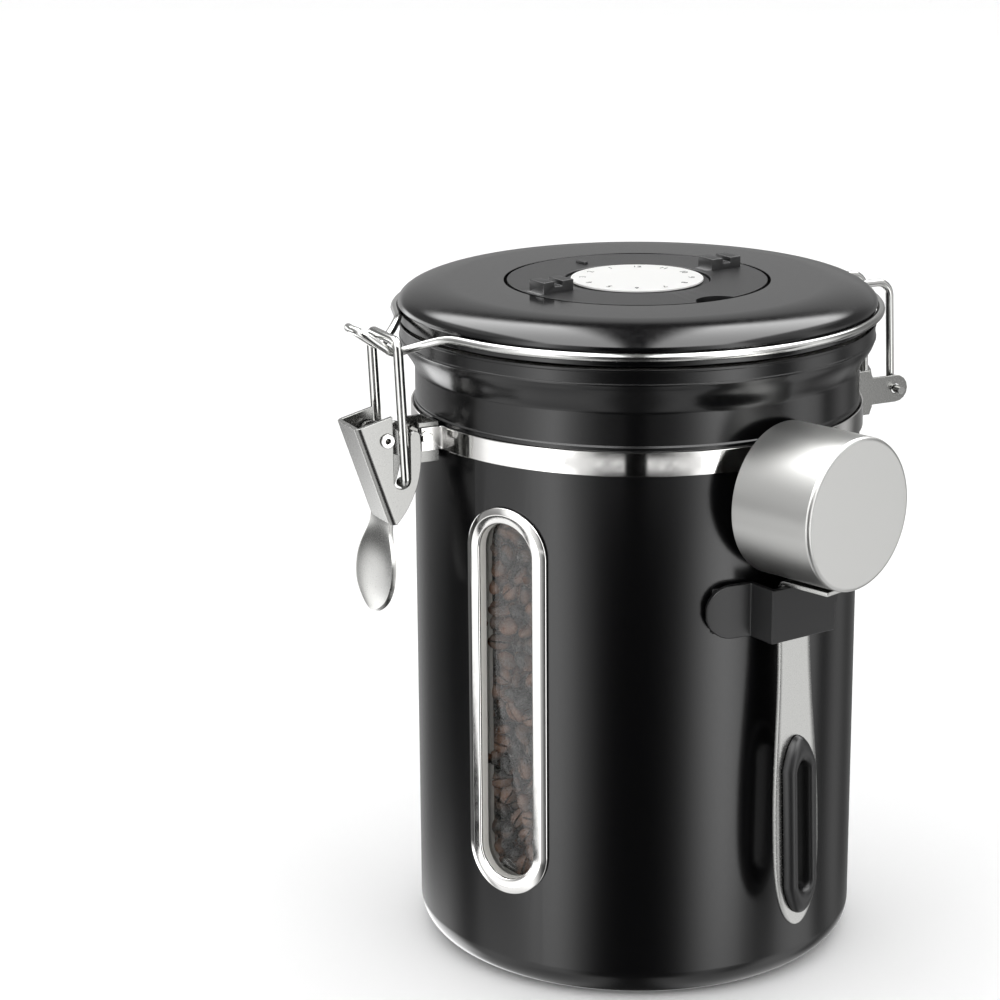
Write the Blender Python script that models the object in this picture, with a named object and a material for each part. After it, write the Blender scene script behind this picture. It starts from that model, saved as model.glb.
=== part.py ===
"""Airtight coffee canister: steel body with a window, clamp latch, wire hinge, date dial and scoop.

Metres, +Z up. The origin is the centre of the base on the surface that the canister stands on.
The latch is at -Y, the hinge at +Y. Azimuths are turned from -Y towards +X.
"""
import math

import bmesh
import bpy
from mathutils import Vector

# Clearances and mesh fineness
GAP = 0.0003
OVERRUN = 0.002
WELD = 0.000001
ROUND_STEPS = 48
INNER_STEPS = 32
SMALL_STEPS = 20
HOLE_STEPS = 8
BEND_STEPS = 4
END_STEPS = 10
SMOOTH_ANGLE = math.radians(35)

# Canister shell: body, neck, flare, collar and rim, stacked from the base up
BODY_RADIUS = 0.060
BODY_HEIGHT = 0.1512
SHELL_WALL = 0.0008
BASE_CORNER = 0.008
NECK_STEP = 0.0004
NECK_LENGTH = 0.0080
FLARE = 0.0035
FLARE_LENGTH = 0.0080
FLARE_ROUND = 0.0006
COLLAR_LENGTH = 0.0045
RIM_CORNER = 0.0005
RIM_LAND = 0.0032
NECK_RADIUS = BODY_RADIUS - NECK_STEP
FLARE_START = BODY_HEIGHT + NECK_LENGTH
COLLAR_RADIUS = BODY_RADIUS + FLARE
COLLAR_START = FLARE_START + FLARE_LENGTH
RIM_HEIGHT = COLLAR_START + COLLAR_LENGTH

# Window, centred on its azimuth, between a margin above the base and one below the neck
WINDOW_AZIMUTH = math.radians(27.3)
WINDOW_FOOT_MARGIN = 0.03055
WINDOW_TOP_MARGIN = 0.02295
WINDOW_WIDTH = 0.0165
BEZEL_FLANGE = 0.00415
BEZEL_THICKNESS = 0.0008
BEZEL_COLLAR_WALL = 0.0008
BEZEL_EDGE = 0.0004
GASKET_THICKNESS = 0.0010
GASKET_WIDTH = 0.0038
PANE_THICKNESS = 0.0015
PANE_MARGIN = 0.0040
RETAINER_THICKNESS = 0.0012
RETAINER_LIP = 0.0012
WINDOW_LENGTH = BODY_HEIGHT - WINDOW_FOOT_MARGIN - WINDOW_TOP_MARGIN
WINDOW_HEIGHT = WINDOW_FOOT_MARGIN + WINDOW_LENGTH / 2

# Neck band just under the neck's step, with two ears at the latch
BAND_DROP = 0.0014
BAND_WIDTH = 0.0062
BAND_THICKNESS = 0.0005
EAR_INNER_X = 0.0049
EAR_LENGTH = 0.0060
BAND_TOP = BODY_HEIGHT - BAND_DROP
BAND_BOTTOM = BAND_TOP - BAND_WIDTH
BAND_FACE = BODY_RADIUS + GAP + BAND_THICKNESS + GAP

# Bolt through the ears
BOLT_RADIUS = 0.0010
BOLT_HEAD_RADIUS = 0.0017
BOLT_HEAD_HEIGHT = 0.0013
BOLT_REACH = 0.0041
BOLT_DROP = 0.0024
BOLT_OUT = BAND_FACE + BOLT_REACH
BOLT_HEIGHT = BAND_TOP - BOLT_DROP

# Latch lever: cheeks, outer web and spoon tab, placed from its pivot
PIVOT_REACH = 0.0155
PIVOT_DROP = 0.0018
LEVER_HALF_WIDTH = 0.00675
LEVER_SHEET = 0.0012
CHEEK_TOP_INNER = 0.0016
CHEEK_TOP_OUTER = 0.0086
CHEEK_TOP_INNER_RISE = 0.0062
CHEEK_TOP_OUTER_RISE = 0.0037
CHEEK_FOOT_OUT = 0.0006
CHEEK_FOOT_DROP = 0.0228
CHEEK_FOOT_WIDTH = 0.0018
CHEEK_BULGE = 0.0007
STRIP_OUTER = 0.0065
STRIP_WIDTH = 0.0028
STRIP_RISE = 0.0016
SLOT_OUTER = 0.0017
SLOT_DROP = 0.0134
TAB_NECK_HALF_WIDTH = 0.0060
TAB_HALF_WIDTH = 0.0112
TAB_NECK_DROP = 0.0250
TAB_WIDEST_DROP = 0.0370
TAB_END_DROP = 0.0470
TAB_LEAN = 0.0034
TAB_DISH = 0.0022
TAB_NECK_DISH_SHARE = 0.2
TAB_COLUMNS = 4
TAB_END_HALF_WIDTH = 0.0020
PIVOT_OUT = BAND_FACE + PIVOT_REACH
PIVOT_HEIGHT = BAND_TOP - PIVOT_DROP
STRIP_INNER = STRIP_OUTER + STRIP_WIDTH

# Tubular rivet at the lever's pivot
RIVET_RADIUS = 0.0012
RIVET_BORE = 0.0007
RIVET_FLANGE_RADIUS = 0.0019
RIVET_FLANGE = 0.0005

# Latch bracket inside the lever
ARM_CLEARANCE = 0.00095
ARM_SHEET = 0.0010
BRACKET_ABOVE_BAND = 0.0012
BRACKET_BELOW_BAND = 0.0031
ARM_END_RADIUS = 0.0031
ARM_WAIST_OUT = 0.0066
ARM_WAIST_DROP = 0.0005
ARM_SHOULDER_OUT = 0.0035
ARM_SHOULDER_RISE = 0.0022
ARM_OUTER_X = LEVER_HALF_WIDTH - LEVER_SHEET - ARM_CLEARANCE
BRACKET_TOP = BAND_TOP + BRACKET_ABOVE_BAND
BRACKET_BOTTOM = BAND_BOTTOM - BRACKET_BELOW_BAND

# Hinge bracket at the back
HINGE_REACH = 0.0164
HINGE_DROP = 0.0048
HINGE_HALF_WIDTH = 0.0094
HINGE_SHEET = 0.0010
HINGE_PLATE_DEPTH = 0.0078
HINGE_PLATE_RISE = 0.0060
HINGE_PLATE_DROP = 0.0065
LUG_RADIUS = 0.0038
HINGE_OUT = BAND_FACE + HINGE_REACH
HINGE_HEIGHT = BAND_TOP - HINGE_DROP
HINGE_TOP = HINGE_HEIGHT + HINGE_PLATE_RISE
HINGE_BOTTOM = HINGE_HEIGHT - HINGE_PLATE_DROP

# Lid shell, seated on the collar's rim
LID_OVERHANG = 0.0005
LID_THICKNESS = 0.0103
LID_ROLL_WIDTH = 0.0140
LID_ROLL_HEIGHT = 0.0055
LID_WALL = 0.0012
LID_LIP_GAP = 0.0007
LID_LIP_WALL = 0.0012
LID_GROOVE = 0.0005
LID_RIB_INSET = 0.0055
LID_RIB_WALL = 0.0015
LID_ROLL_STEPS = 5
LID_RADIUS = COLLAR_RADIUS + LID_OVERHANG
LID_TOP = RIM_HEIGHT + LID_THICKNESS
LID_FLAT_RADIUS = LID_RADIUS - LID_ROLL_WIDTH
LID_LIP_HEIGHT = RIM_HEIGHT + LID_LIP_GAP
LID_LIP_OUTER = LID_RADIUS - LID_GROOVE
LID_LIP_INNER = LID_LIP_OUTER - LID_LIP_WALL
LID_RIB_RADIUS = LID_RADIUS - LID_RIB_INSET

# Wire round the lid
LID_WIRE_RADIUS = 0.0011
LID_WIRE_RISE = 0.0033
LID_LEG_CLEARANCE = 0.0008
LID_LEG_TILT = 0.0013
LID_PIN_PROUD = 0.0028
LID_LEG_BEND = 0.0040
LID_PIN_BEND = 0.0015
LID_JOIN_BEND = 0.0025
LOOP_START_AZIMUTH = math.radians(13.5)
LOOP_TIP_REACH = 0.0091
LOOP_TIP_RISE = 0.0017
LOOP_WAIST_X = 0.0054
LID_WIRE_HEIGHT = RIM_HEIGHT + LID_WIRE_RISE
LID_LEG_X = HINGE_HALF_WIDTH - HINGE_SHEET - LID_LEG_CLEARANCE - LID_WIRE_RADIUS
LID_PIN_END_X = HINGE_HALF_WIDTH + LID_PIN_PROUD

# Link wire from the lever's slots up over the lid wire's loop
LINK_RADIUS = 0.0013
LINK_BAR_INSET = 0.0026
LINK_BAR_DROP = 0.0010
LINK_HOOK_INSET = 0.0044
LINK_LEG_CLEARANCE = 0.00035
LINK_BEND = 0.0024
LINK_HOOK_BEND = 0.0016
LINK_BAR_OUT = PIVOT_OUT - LINK_BAR_INSET
LINK_BAR_HEIGHT = LID_WIRE_HEIGHT - LINK_BAR_DROP
LINK_HOOK_OUT = PIVOT_OUT - LINK_HOOK_INSET
LINK_HOOK_HEIGHT = PIVOT_HEIGHT - SLOT_DROP + GAP + LINK_RADIUS

# Lid pan, hung into the mouth with room to swing out past the rim
PAN_DEPTH = 0.0037
PAN_WALL = 0.0010
PAN_RIM_CLEARANCE = 0.0029
PAN_CORNER_RISE = 0.0025
PAN_CORNER_INSET = 0.0004
PAN_TAPER = 0.0029
PAN_NECK_RADIUS = COLLAR_RADIUS - RIM_LAND - PAN_RIM_CLEARANCE
PAN_CORNER_RADIUS = PAN_NECK_RADIUS - PAN_CORNER_INSET
PAN_FLOOR_RADIUS = PAN_NECK_RADIUS - PAN_TAPER
PAN_FLOOR_HEIGHT = RIM_HEIGHT - PAN_DEPTH
PAN_CORNER_HEIGHT = PAN_FLOOR_HEIGHT + PAN_CORNER_RISE
PAN_FLANGE_RADIUS = LID_LIP_INNER - GAP

# Lid gasket
SEAL_CLEARANCE = 0.0008
SEAL_LIP = 0.0006
SEAL_OUTER = LID_LIP_INNER - GAP
SEAL_INNER = PAN_NECK_RADIUS + SEAL_CLEARANCE

# Dial: turning ring, hub and disc
DIAL_RADIUS = 0.0350
DIAL_CLEARANCE = 0.0006
DIAL_HEIGHT = 0.0035
DIAL_BORE = 0.0165
DIAL_COUNTERBORE = 0.0196
DIAL_LEDGE = 0.0014
DIAL_EDGE = 0.0004
TAB_AZIMUTHS = (math.radians(7), math.radians(187))
TAB_INNER = 0.0228
TAB_LENGTH = 0.0096
TAB_WIDTH = 0.0066
TAB_HEIGHT = 0.0030
TAB_VALLEY = 0.0016
TAB_RIDGE = 0.0036
NOTCH_AZIMUTH = math.radians(97)
NOTCH_RADIUS = 0.0062
NOTCH_OVERHANG = 0.0012
NOTCH_DEPTH = 0.0014
RIDGE_AZIMUTH = math.radians(277)
RIDGE_RADIUS = 0.0237
RIDGE_LENGTH = 0.0040
RIDGE_WIDTH = 0.0014
RIDGE_HEIGHT = 0.0008
RECESS_RADIUS = DIAL_RADIUS + DIAL_CLEARANCE
RECESS_DEPTH = DIAL_HEIGHT + GAP
RECESS_FLOOR = 0.0010
HUB_FLANGE = 0.0012
HUB_STEM_RADIUS = 0.0117
HUB_BORE = 0.0080
HUB_LIP_BORE = 0.0068
HUB_LIP = 0.0008
HUB_PROUD = 0.0007
BOSS_WALL = 0.0030
HUB_GASKET = 0.0015
DISC_MARGIN = 0.0019
DISC_THICKNESS = 0.0006
DISC_RADIUS = DIAL_COUNTERBORE - DISC_MARGIN
BOSS_BOTTOM = PAN_FLOOR_HEIGHT + PAN_WALL + GAP + HUB_GASKET + GAP

# Valve inside the hub, and the nut under the pan
DRILL_PHASE = math.radians(4)
SCREEN_THICKNESS = 0.0004
SCREEN_HOLE = 0.0007
SCREEN_HOLES = 8
SCREEN_HOLE_CIRCLE = 0.0048
SEAT_THICKNESS = 0.0014
SEAT_HOLE = 0.0010
SEAT_HOLES = 6
SEAT_HOLE_CIRCLE = 0.0044
SEAT_PIN_RADIUS = 0.0010
SEAT_PIN_HEIGHT = 0.0030
VALVE_DISC_INSET = 0.0012
VALVE_DISC_THICKNESS = 0.0008
NUT_FLANGE = 0.0053
NUT_HEIGHT = 0.0030
NUT_NOTCHES = 6
NUT_NOTCH = 0.0026
NUT_RADIUS = HUB_STEM_RADIUS + NUT_FLANGE
HUB_BOTTOM = PAN_FLOOR_HEIGHT - GAP - NUT_HEIGHT - HUB_PROUD

# Scoop holder on the wall, below the neck
HOLDER_AZIMUTH = math.radians(98.5)
HOLDER_DROP = 0.0510
HOLDER_HEIGHT = 0.0142
HOLDER_WALL = 0.0016
HOLDER_REACH = 0.0105
HOLDER_FRONT_WIDTH = 0.0210
HOLDER_WING_ANGLE = math.radians(20.9)
PAD_THICKNESS = 0.0006
PAD_MARGIN = 0.0012
HOLDER_BOTTOM = BODY_HEIGHT - HOLDER_DROP
HOLDER_TOP = HOLDER_BOTTOM + HOLDER_HEIGHT
HOLDER_FRONT_OUT = BODY_RADIUS + HOLDER_REACH

# Scoop, hung in the holder and turned a little from it
SCOOP_TURN = math.radians(9.5)
CUP_RADIUS = 0.0197
CUP_DEPTH = 0.0249
CUP_WALL = 0.0008
CUP_CORNER = 0.0012
HANDLE_THICKNESS = 0.0010
HANDLE_HALF_WIDTH = 0.0058
HANDLE_GRIP_HALF_WIDTH = 0.0085
HANDLE_TONGUE = 0.0200
HANDLE_OUT = 0.0046
HANDLE_LEAN = 0.0029
HANDLE_BEND = 0.0015
HANDLE_TIP_MARGIN = 0.0032
HANDLE_SLOT_MARGIN = 0.0012
GRIP_DROP = 0.0517
GRIP_LENGTH = 0.0490
GRIP_HALF_WIDTH = 0.0076
GRIP_SLOT_LENGTH = 0.0350
GRIP_SLOT_HALF_WIDTH = 0.00225
GRIP_PROUD = 0.0028
GRIP_EDGE = 0.0006
GRIP_CROWN_SHARES = (0.15, 0.45, 0.8)
GRIP_MIDDLE = HOLDER_BOTTOM - GRIP_DROP
HANDLE_TIP_HEIGHT = GRIP_MIDDLE - GRIP_LENGTH / 2 - HANDLE_TIP_MARGIN


def clear_scene():
    for thing in list(bpy.data.objects):
        bpy.data.objects.remove(thing, do_unlink=True)


def finish(name, colour, roughness, metallic, alpha=1):
    """A surface finish: its colour, how rough it is and whether it is bare metal."""
    material = bpy.data.materials.new(name)
    material.use_nodes = True
    shader = material.node_tree.nodes["Principled BSDF"]
    shader.inputs["Base Color"].default_value = (*colour, 1)
    shader.inputs["Roughness"].default_value = roughness
    shader.inputs["Metallic"].default_value = metallic
    shader.inputs["Alpha"].default_value = alpha
    return material


def satin_black(name):
    return finish(name, (0.012, 0.012, 0.013), 0.38, 0)


def gloss_black(name):
    return finish(name, (0.010, 0.010, 0.011), 0.12, 0)


def moulded_black(name):
    return finish(name, (0.018, 0.018, 0.019), 0.50, 0)


def bright_steel(name):
    return finish(name, (0.80, 0.80, 0.79), 0.12, 1)


def satin_steel(name):
    return finish(name, (0.62, 0.62, 0.61), 0.30, 1)


def silicone(name):
    return finish(name, (0.42, 0.42, 0.41), 0.60, 0)


def clear_plastic(name):
    return finish(name, (0.90, 0.91, 0.90), 0.05, 0, 0.25)


def white_plastic(name):
    return finish(name, (0.82, 0.82, 0.81), 0.35, 0)


def on_round(radius, azimuth, height):
    """A point at a radius and an azimuth, turned from -Y towards +X."""
    return Vector((radius * math.sin(azimuth), -radius * math.cos(azimuth), height))


def in_front(out, height, x=0):
    return Vector((x, -out, height))


def at_back(out, height, x=0):
    return Vector((x, out, height))


def make_object(name, shape, material):
    """Turn a finished bmesh into a named object with its material and smooth shading."""
    bmesh.ops.remove_doubles(shape, verts=shape.verts, dist=WELD)
    bmesh.ops.recalc_face_normals(shape, faces=shape.faces)
    mesh = bpy.data.meshes.new(name)
    shape.to_mesh(mesh)
    shape.free()
    mesh.shade_smooth()
    mesh.set_sharp_from_angle(angle=SMOOTH_ANGLE)
    mesh.materials.append(material)
    part = bpy.data.objects.new(name, mesh)
    bpy.context.scene.collection.objects.link(part)
    return part


def revolve(name, profile, material, steps=ROUND_STEPS):
    """Turn a profile of (radius, height) points round the Z axis into a closed solid."""
    shape = bmesh.new()
    points = [shape.verts.new((radius, 0, height)) for radius, height in profile]
    edges = [shape.edges.new(pair) for pair in zip(points, points[1:])]
    if profile[0][0] > 0:
        edges.append(shape.edges.new((points[-1], points[0])))
    bmesh.ops.spin(shape, geom=points + edges, cent=(0, 0, 0), axis=(0, 0, 1),
                   dvec=(0, 0, 0), angle=math.tau, steps=steps)
    return make_object(name, shape, material)


def slab(name, outline, start, end, place, material):
    """Extrude an outline of (out, height) points from one side to the other."""
    shape = bmesh.new()
    bottom = shape.faces.new([shape.verts.new(place(out, height, start)) for out, height in outline])
    side = bmesh.ops.extrude_face_region(shape, geom=[bottom])
    far = [item for item in side["geom"] if isinstance(item, bmesh.types.BMVert)]
    way = place(*outline[0], end) - place(*outline[0], start)
    bmesh.ops.translate(shape, verts=far, vec=way)
    return make_object(name, shape, material)


def rod(name, radius, centre, axis, length, material, steps=HOLE_STEPS):
    """A solid round rod about a centre, along an axis."""
    shape = bmesh.new()
    bmesh.ops.create_cone(shape, cap_ends=True, segments=steps, radius1=radius, radius2=radius,
                          depth=length)
    turn = Vector((0, 0, 1)).rotation_difference(Vector(axis)).to_matrix()
    bmesh.ops.rotate(shape, verts=shape.verts, cent=(0, 0, 0), matrix=turn)
    bmesh.ops.translate(shape, verts=shape.verts, vec=centre)
    return make_object(name, shape, material)


def combine(part, tool, operation):
    """Cut a tool from a part, or join it to the part. The tool stays as a hidden guide."""
    step = part.modifiers.new(tool.name, "BOOLEAN")
    step.operation = operation
    step.object = tool
    tool.hide_render = True
    tool.display_type = "WIRE"
    tool.parent = part
    return part


def sheet(name, rows, thickness, material):
    """Sheet of even thickness about a grid of points, one row for each section."""
    shape = bmesh.new()
    grid = [[shape.verts.new(point) for point in row] for row in rows]
    for near, far in zip(grid, grid[1:]):
        for index in range(len(near) - 1):
            shape.faces.new((near[index], near[index + 1], far[index + 1], far[index]))
    part = make_object(name, shape, material)
    wall = part.modifiers.new("thickness", "SOLIDIFY")
    wall.thickness = thickness
    wall.offset = 0
    wall.use_even_offset = True
    wall.use_quality_normals = True
    return part


def ring_between(name, inner, outer, section, place, material):
    """Sweep a closed section between an inner and an outer closed path.

    A section point is (share of the way from the inner to the outer path, height)."""
    shape = bmesh.new()
    rings = []
    for share, height in section:
        ring = []
        for near, far in zip(inner, outer):
            across = near[0] + share * (far[0] - near[0])
            along = near[1] + share * (far[1] - near[1])
            ring.append(shape.verts.new(place(across, along, height)))
        rings.append(ring)
    for first, second in zip(rings, rings[1:] + rings[:1]):
        for index in range(len(first)):
            after = (index + 1) % len(first)
            shape.faces.new((first[index], first[after], second[after], second[index]))
    return make_object(name, shape, material)


def wire(name, points, radius, material):
    """A round wire along a path of points, with closed ends."""
    line = bpy.data.curves.new(name, "CURVE")
    line.dimensions = "3D"
    line.bevel_depth = radius
    line.bevel_resolution = 2
    line.use_fill_caps = True
    spline = line.splines.new("POLY")
    spline.points.add(len(points) - 1)
    for spot, point in zip(spline.points, points):
        spot.co = (*point, 1)
    line.materials.append(material)
    part = bpy.data.objects.new(name, line)
    bpy.context.scene.collection.objects.link(part)
    return part


def rounded(corners, radii):
    """A path through corners, each inner corner rounded to its own radius."""
    path = [corners[0]]
    for before, corner, after, radius in zip(corners, corners[1:], corners[2:], radii):
        back = (before - corner).normalized()
        ahead = (after - corner).normalized()
        half = back.angle(ahead) / 2
        centre = corner + (back + ahead).normalized() * radius / math.sin(half)
        start = corner + back * radius / math.tan(half) - centre
        end = corner + ahead * radius / math.tan(half) - centre
        for step in range(BEND_STEPS + 1):
            path.append(centre + start.lerp(end, step / BEND_STEPS).normalized() * start.length)
    path.append(corners[-1])
    return path


def smooth_curve(points, steps):
    """Points along a smooth curve through the given ones, ends included."""
    padded = [points[0] * 2 - points[1]] + points + [points[-1] * 2 - points[-2]]
    path = []
    for first, start, end, last in zip(padded, padded[1:], padded[2:], padded[3:]):
        for step in range(steps):
            t = step / steps
            path.append(start * 2 + (end - first) * t + (first * 2 - start * 5 + end * 4 - last) * t ** 2
                        + (start * 3 - first - end * 3 + last) * t ** 3)
    return [point / 2 for point in path] + [points[-1]]


def arc(centre, radius, start, end, steps):
    """Points of an arc in a plane, from a start to an end angle."""
    angles = [start + (end - start) * step / steps for step in range(steps + 1)]
    return [(centre[0] + radius * math.cos(a), centre[1] + radius * math.sin(a)) for a in angles]


def stadium(half_width, half_length):
    """A slot's outline: two straight sides and two half-round ends."""
    straight = half_length - half_width
    top = arc((0, straight), half_width, 0, math.pi, END_STEPS)
    bottom = arc((0, -straight), half_width, math.pi, math.tau, END_STEPS)
    return top + bottom


def build_shell():
    """Drawn steel body: flat base, straight wall, stepped neck, flared collar and turned-in rim."""
    corner = arc((BODY_RADIUS - BASE_CORNER, BASE_CORNER), BASE_CORNER, -math.pi / 2, 0, BEND_STEPS)
    flare_mid = (FLARE_START + COLLAR_START) / 2
    flare_radius = (NECK_RADIUS + COLLAR_RADIUS) / 2
    outside = [(0, 0)] + corner + [
        (BODY_RADIUS, BODY_HEIGHT - NECK_STEP),
        (NECK_RADIUS, BODY_HEIGHT),
        (NECK_RADIUS, FLARE_START),
        (flare_radius - FLARE_ROUND, flare_mid - FLARE_ROUND * 2),
        (COLLAR_RADIUS - FLARE_ROUND, COLLAR_START - FLARE_ROUND * 3),
        (COLLAR_RADIUS, COLLAR_START),
        (COLLAR_RADIUS, RIM_HEIGHT - RIM_CORNER),
        (COLLAR_RADIUS - RIM_CORNER, RIM_HEIGHT),
        (COLLAR_RADIUS - RIM_LAND, RIM_HEIGHT),
    ]
    inner_corner = arc((BODY_RADIUS - BASE_CORNER, BASE_CORNER), BASE_CORNER - SHELL_WALL,
                       0, -math.pi / 2, BEND_STEPS // 2)
    inside = [
        (COLLAR_RADIUS - RIM_LAND, RIM_HEIGHT - SHELL_WALL),
        (COLLAR_RADIUS - SHELL_WALL, RIM_HEIGHT - SHELL_WALL),
        (COLLAR_RADIUS - SHELL_WALL, COLLAR_START),
        (flare_radius - FLARE_ROUND - SHELL_WALL, flare_mid - FLARE_ROUND),
        (NECK_RADIUS - SHELL_WALL, FLARE_START),
        (NECK_RADIUS - SHELL_WALL, BODY_HEIGHT),
        (BODY_RADIUS - SHELL_WALL, BODY_HEIGHT - NECK_STEP),
    ] + inner_corner + [(0, SHELL_WALL)]
    shell = revolve("canister_shell", outside + inside, satin_black("canister_shell"))
    cut = stadium(WINDOW_WIDTH / 2 + BEZEL_COLLAR_WALL + GAP, WINDOW_LENGTH / 2 + BEZEL_COLLAR_WALL + GAP)
    cutter = slab("window_cutter", cut, BODY_RADIUS / 2, BODY_RADIUS + OVERRUN, through_window,
                  satin_black("window_cutter"))
    return combine(shell, cutter, "DIFFERENCE")


def through_window(across, along, out):
    """A place straight through the window, at a distance out from the canister's axis."""
    side = Vector((math.cos(WINDOW_AZIMUTH), math.sin(WINDOW_AZIMUTH), 0))
    return on_round(out, WINDOW_AZIMUTH, WINDOW_HEIGHT + along) + side * across


def on_window(across, along, height):
    """A place on the wall round the window's centre, at a height above the wall."""
    return on_round(BODY_RADIUS + height, WINDOW_AZIMUTH + across / BODY_RADIUS, WINDOW_HEIGHT + along)


def window_paths(margin, width):
    """The inner and outer outline of a frame that starts a margin outside the window's edge."""
    inner = stadium(WINDOW_WIDTH / 2 + margin, WINDOW_LENGTH / 2 + margin)
    outer = stadium(WINDOW_WIDTH / 2 + margin + width, WINDOW_LENGTH / 2 + margin + width)
    return inner, outer


def build_bezel():
    """Bright frame: a flat flange on the wall and a collar through it."""
    inner, outer = window_paths(0, BEZEL_FLANGE)
    collar = BEZEL_COLLAR_WALL / BEZEL_FLANGE
    edge = BEZEL_EDGE / BEZEL_FLANGE
    top = GAP + BEZEL_THICKNESS
    depth = -SHELL_WALL - GASKET_THICKNESS
    section = [(0, depth), (0, top - BEZEL_EDGE), (edge, top), (1 - edge * 2, top),
               (1, GAP + BEZEL_EDGE), (1, GAP), (collar, GAP), (collar, depth)]
    return ring_between("window_bezel", inner, outer, section, on_window, bright_steel("window_bezel"))


def build_window_gasket():
    """Silicone frame round the collar, between the wall and the pane."""
    inner, outer = window_paths(BEZEL_COLLAR_WALL + GAP, GASKET_WIDTH)
    top = -SHELL_WALL - GAP
    section = [(0, top), (1, top), (1, top - GASKET_THICKNESS), (0, top - GASKET_THICKNESS)]
    return ring_between("window_gasket", inner, outer, section, on_window, silicone("window_gasket"))


def pane_top():
    return -SHELL_WALL - GAP - GASKET_THICKNESS - GAP


def build_pane():
    """Clear pane, curved like the wall, made in upright strips with half-round ends."""
    half_width = WINDOW_WIDTH / 2 + PANE_MARGIN
    straight = WINDOW_LENGTH / 2 - WINDOW_WIDTH / 2
    rows = []
    for step in range(END_STEPS + 1):
        angle = math.pi * (step + 0.5) / (END_STEPS + 1)
        across = -half_width * math.cos(angle)
        reach = straight + half_width * math.sin(angle)
        height = pane_top() - PANE_THICKNESS / 2
        rows.append([on_window(across, -reach, height), on_window(across, reach, height)])
    return sheet("window_pane", rows, PANE_THICKNESS, clear_plastic("window_pane"))


def build_retainer():
    """Inner frame behind the pane, with a lip that goes round the pane's edge."""
    inner, outer = window_paths(BEZEL_COLLAR_WALL, PANE_MARGIN + RETAINER_LIP)
    back = pane_top() - PANE_THICKNESS - GAP
    lip = PANE_MARGIN / (PANE_MARGIN + RETAINER_LIP)
    section = [(0, back), (lip, back), (lip, back + PANE_THICKNESS), (1, back + PANE_THICKNESS),
               (1, back - RETAINER_THICKNESS), (0, back - RETAINER_THICKNESS)]
    return ring_between("window_retainer", inner, outer, section, on_window,
                        moulded_black("window_retainer"))


def build_band():
    """Clamp band round the neck. Both ends turn out beside the latch bracket."""
    middle = BODY_RADIUS + GAP + BAND_THICKNESS / 2
    ear_x = EAR_INNER_X + BAND_THICKNESS / 2
    start = math.asin(ear_x / middle)
    turns = [start + (math.tau - start * 2) * step / ROUND_STEPS for step in range(ROUND_STEPS + 1)]
    ends = [Vector((x, -middle * math.cos(start) - EAR_LENGTH, 0)) for x in (ear_x, -ear_x)]
    path = [ends[0]] + [on_round(middle, turn, 0) for turn in turns] + [ends[1]]
    rows = [[spot + Vector((0, 0, BAND_BOTTOM)), spot + Vector((0, 0, BAND_TOP))] for spot in path]
    band = sheet("neck_band", rows, BAND_THICKNESS, bright_steel("neck_band"))
    return combine(band, bolt_cutter("band_bolt_cutter"), "DIFFERENCE")


def bolt_cutter(name):
    return rod(name, BOLT_RADIUS + GAP, in_front(BOLT_OUT, BOLT_HEIGHT), (1, 0, 0),
               (EAR_INNER_X + OVERRUN) * 2, bright_steel(name), SMALL_STEPS)


def build_bolt():
    """Bolt through both ears and the bracket, with its head on one side and its nut on the other."""
    seat = EAR_INNER_X + BAND_THICKNESS + GAP
    end = seat + BOLT_HEAD_HEIGHT
    profile = [(0, -end), (BOLT_HEAD_RADIUS, -end), (BOLT_HEAD_RADIUS, -seat), (BOLT_RADIUS, -seat),
               (BOLT_RADIUS, seat), (BOLT_HEAD_RADIUS, seat), (BOLT_HEAD_RADIUS, end), (0, end)]
    bolt = revolve("band_bolt", profile, bright_steel("band_bolt"), SMALL_STEPS // 2)
    return lay_along_x(bolt, in_front(BOLT_OUT, BOLT_HEIGHT))


def lay_along_x(part, centre):
    """Turn an upright revolved piece onto the X axis and set it at its centre."""
    part.rotation_euler = (0, math.pi / 2, 0)
    part.location = centre
    return part


def pivot_place(out, rise, x):
    """A place beside the lever's pivot: out from the canister, above the pivot and across."""
    return in_front(PIVOT_OUT + out, PIVOT_HEIGHT + rise, x)


def bow(start, first, second, end, steps):
    """Points of a curve that leaves its start towards one guide and reaches its end from another."""
    points = []
    for step in range(steps + 1):
        t = step / steps
        weights = ((1 - t) ** 3, 3 * t * (1 - t) ** 2, 3 * t * t * (1 - t), t ** 3)
        corners = (start, first, second, end)
        points.append(tuple(sum(w * spot[axis] for w, spot in zip(weights, corners)) for axis in (0, 1)))
    return points


def cheek_outline():
    """Side of the lever: main plate, open slot for the link's hook, and the bowed inner strip."""
    slot_middle = -(SLOT_OUTER + STRIP_OUTER) / 2
    slot_radius = (STRIP_OUTER - SLOT_OUTER) / 2
    slot = arc((slot_middle, slot_radius - SLOT_DROP), slot_radius, 0, -math.pi, BEND_STEPS * 2)
    strip_middle = -(STRIP_OUTER + STRIP_INNER) / 2
    strip_radius = (STRIP_INNER - STRIP_OUTER) / 2
    strip = arc((strip_middle, STRIP_RISE - strip_radius), strip_radius, 0, math.pi, BEND_STEPS)
    foot_inner = (-CHEEK_FOOT_OUT - CHEEK_FOOT_WIDTH, -CHEEK_FOOT_DROP)
    bowed = bow(strip[-1], (-STRIP_INNER - CHEEK_BULGE, -SLOT_DROP / 2),
                (-STRIP_INNER - CHEEK_BULGE / 2, -SLOT_DROP - CHEEK_FOOT_WIDTH), foot_inner, END_STEPS)
    return [(CHEEK_TOP_OUTER, CHEEK_TOP_OUTER_RISE), (-CHEEK_TOP_INNER, CHEEK_TOP_INNER_RISE)] + slot \
        + strip + bowed[1:] + [(-CHEEK_FOOT_OUT, -CHEEK_FOOT_DROP)]


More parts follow.
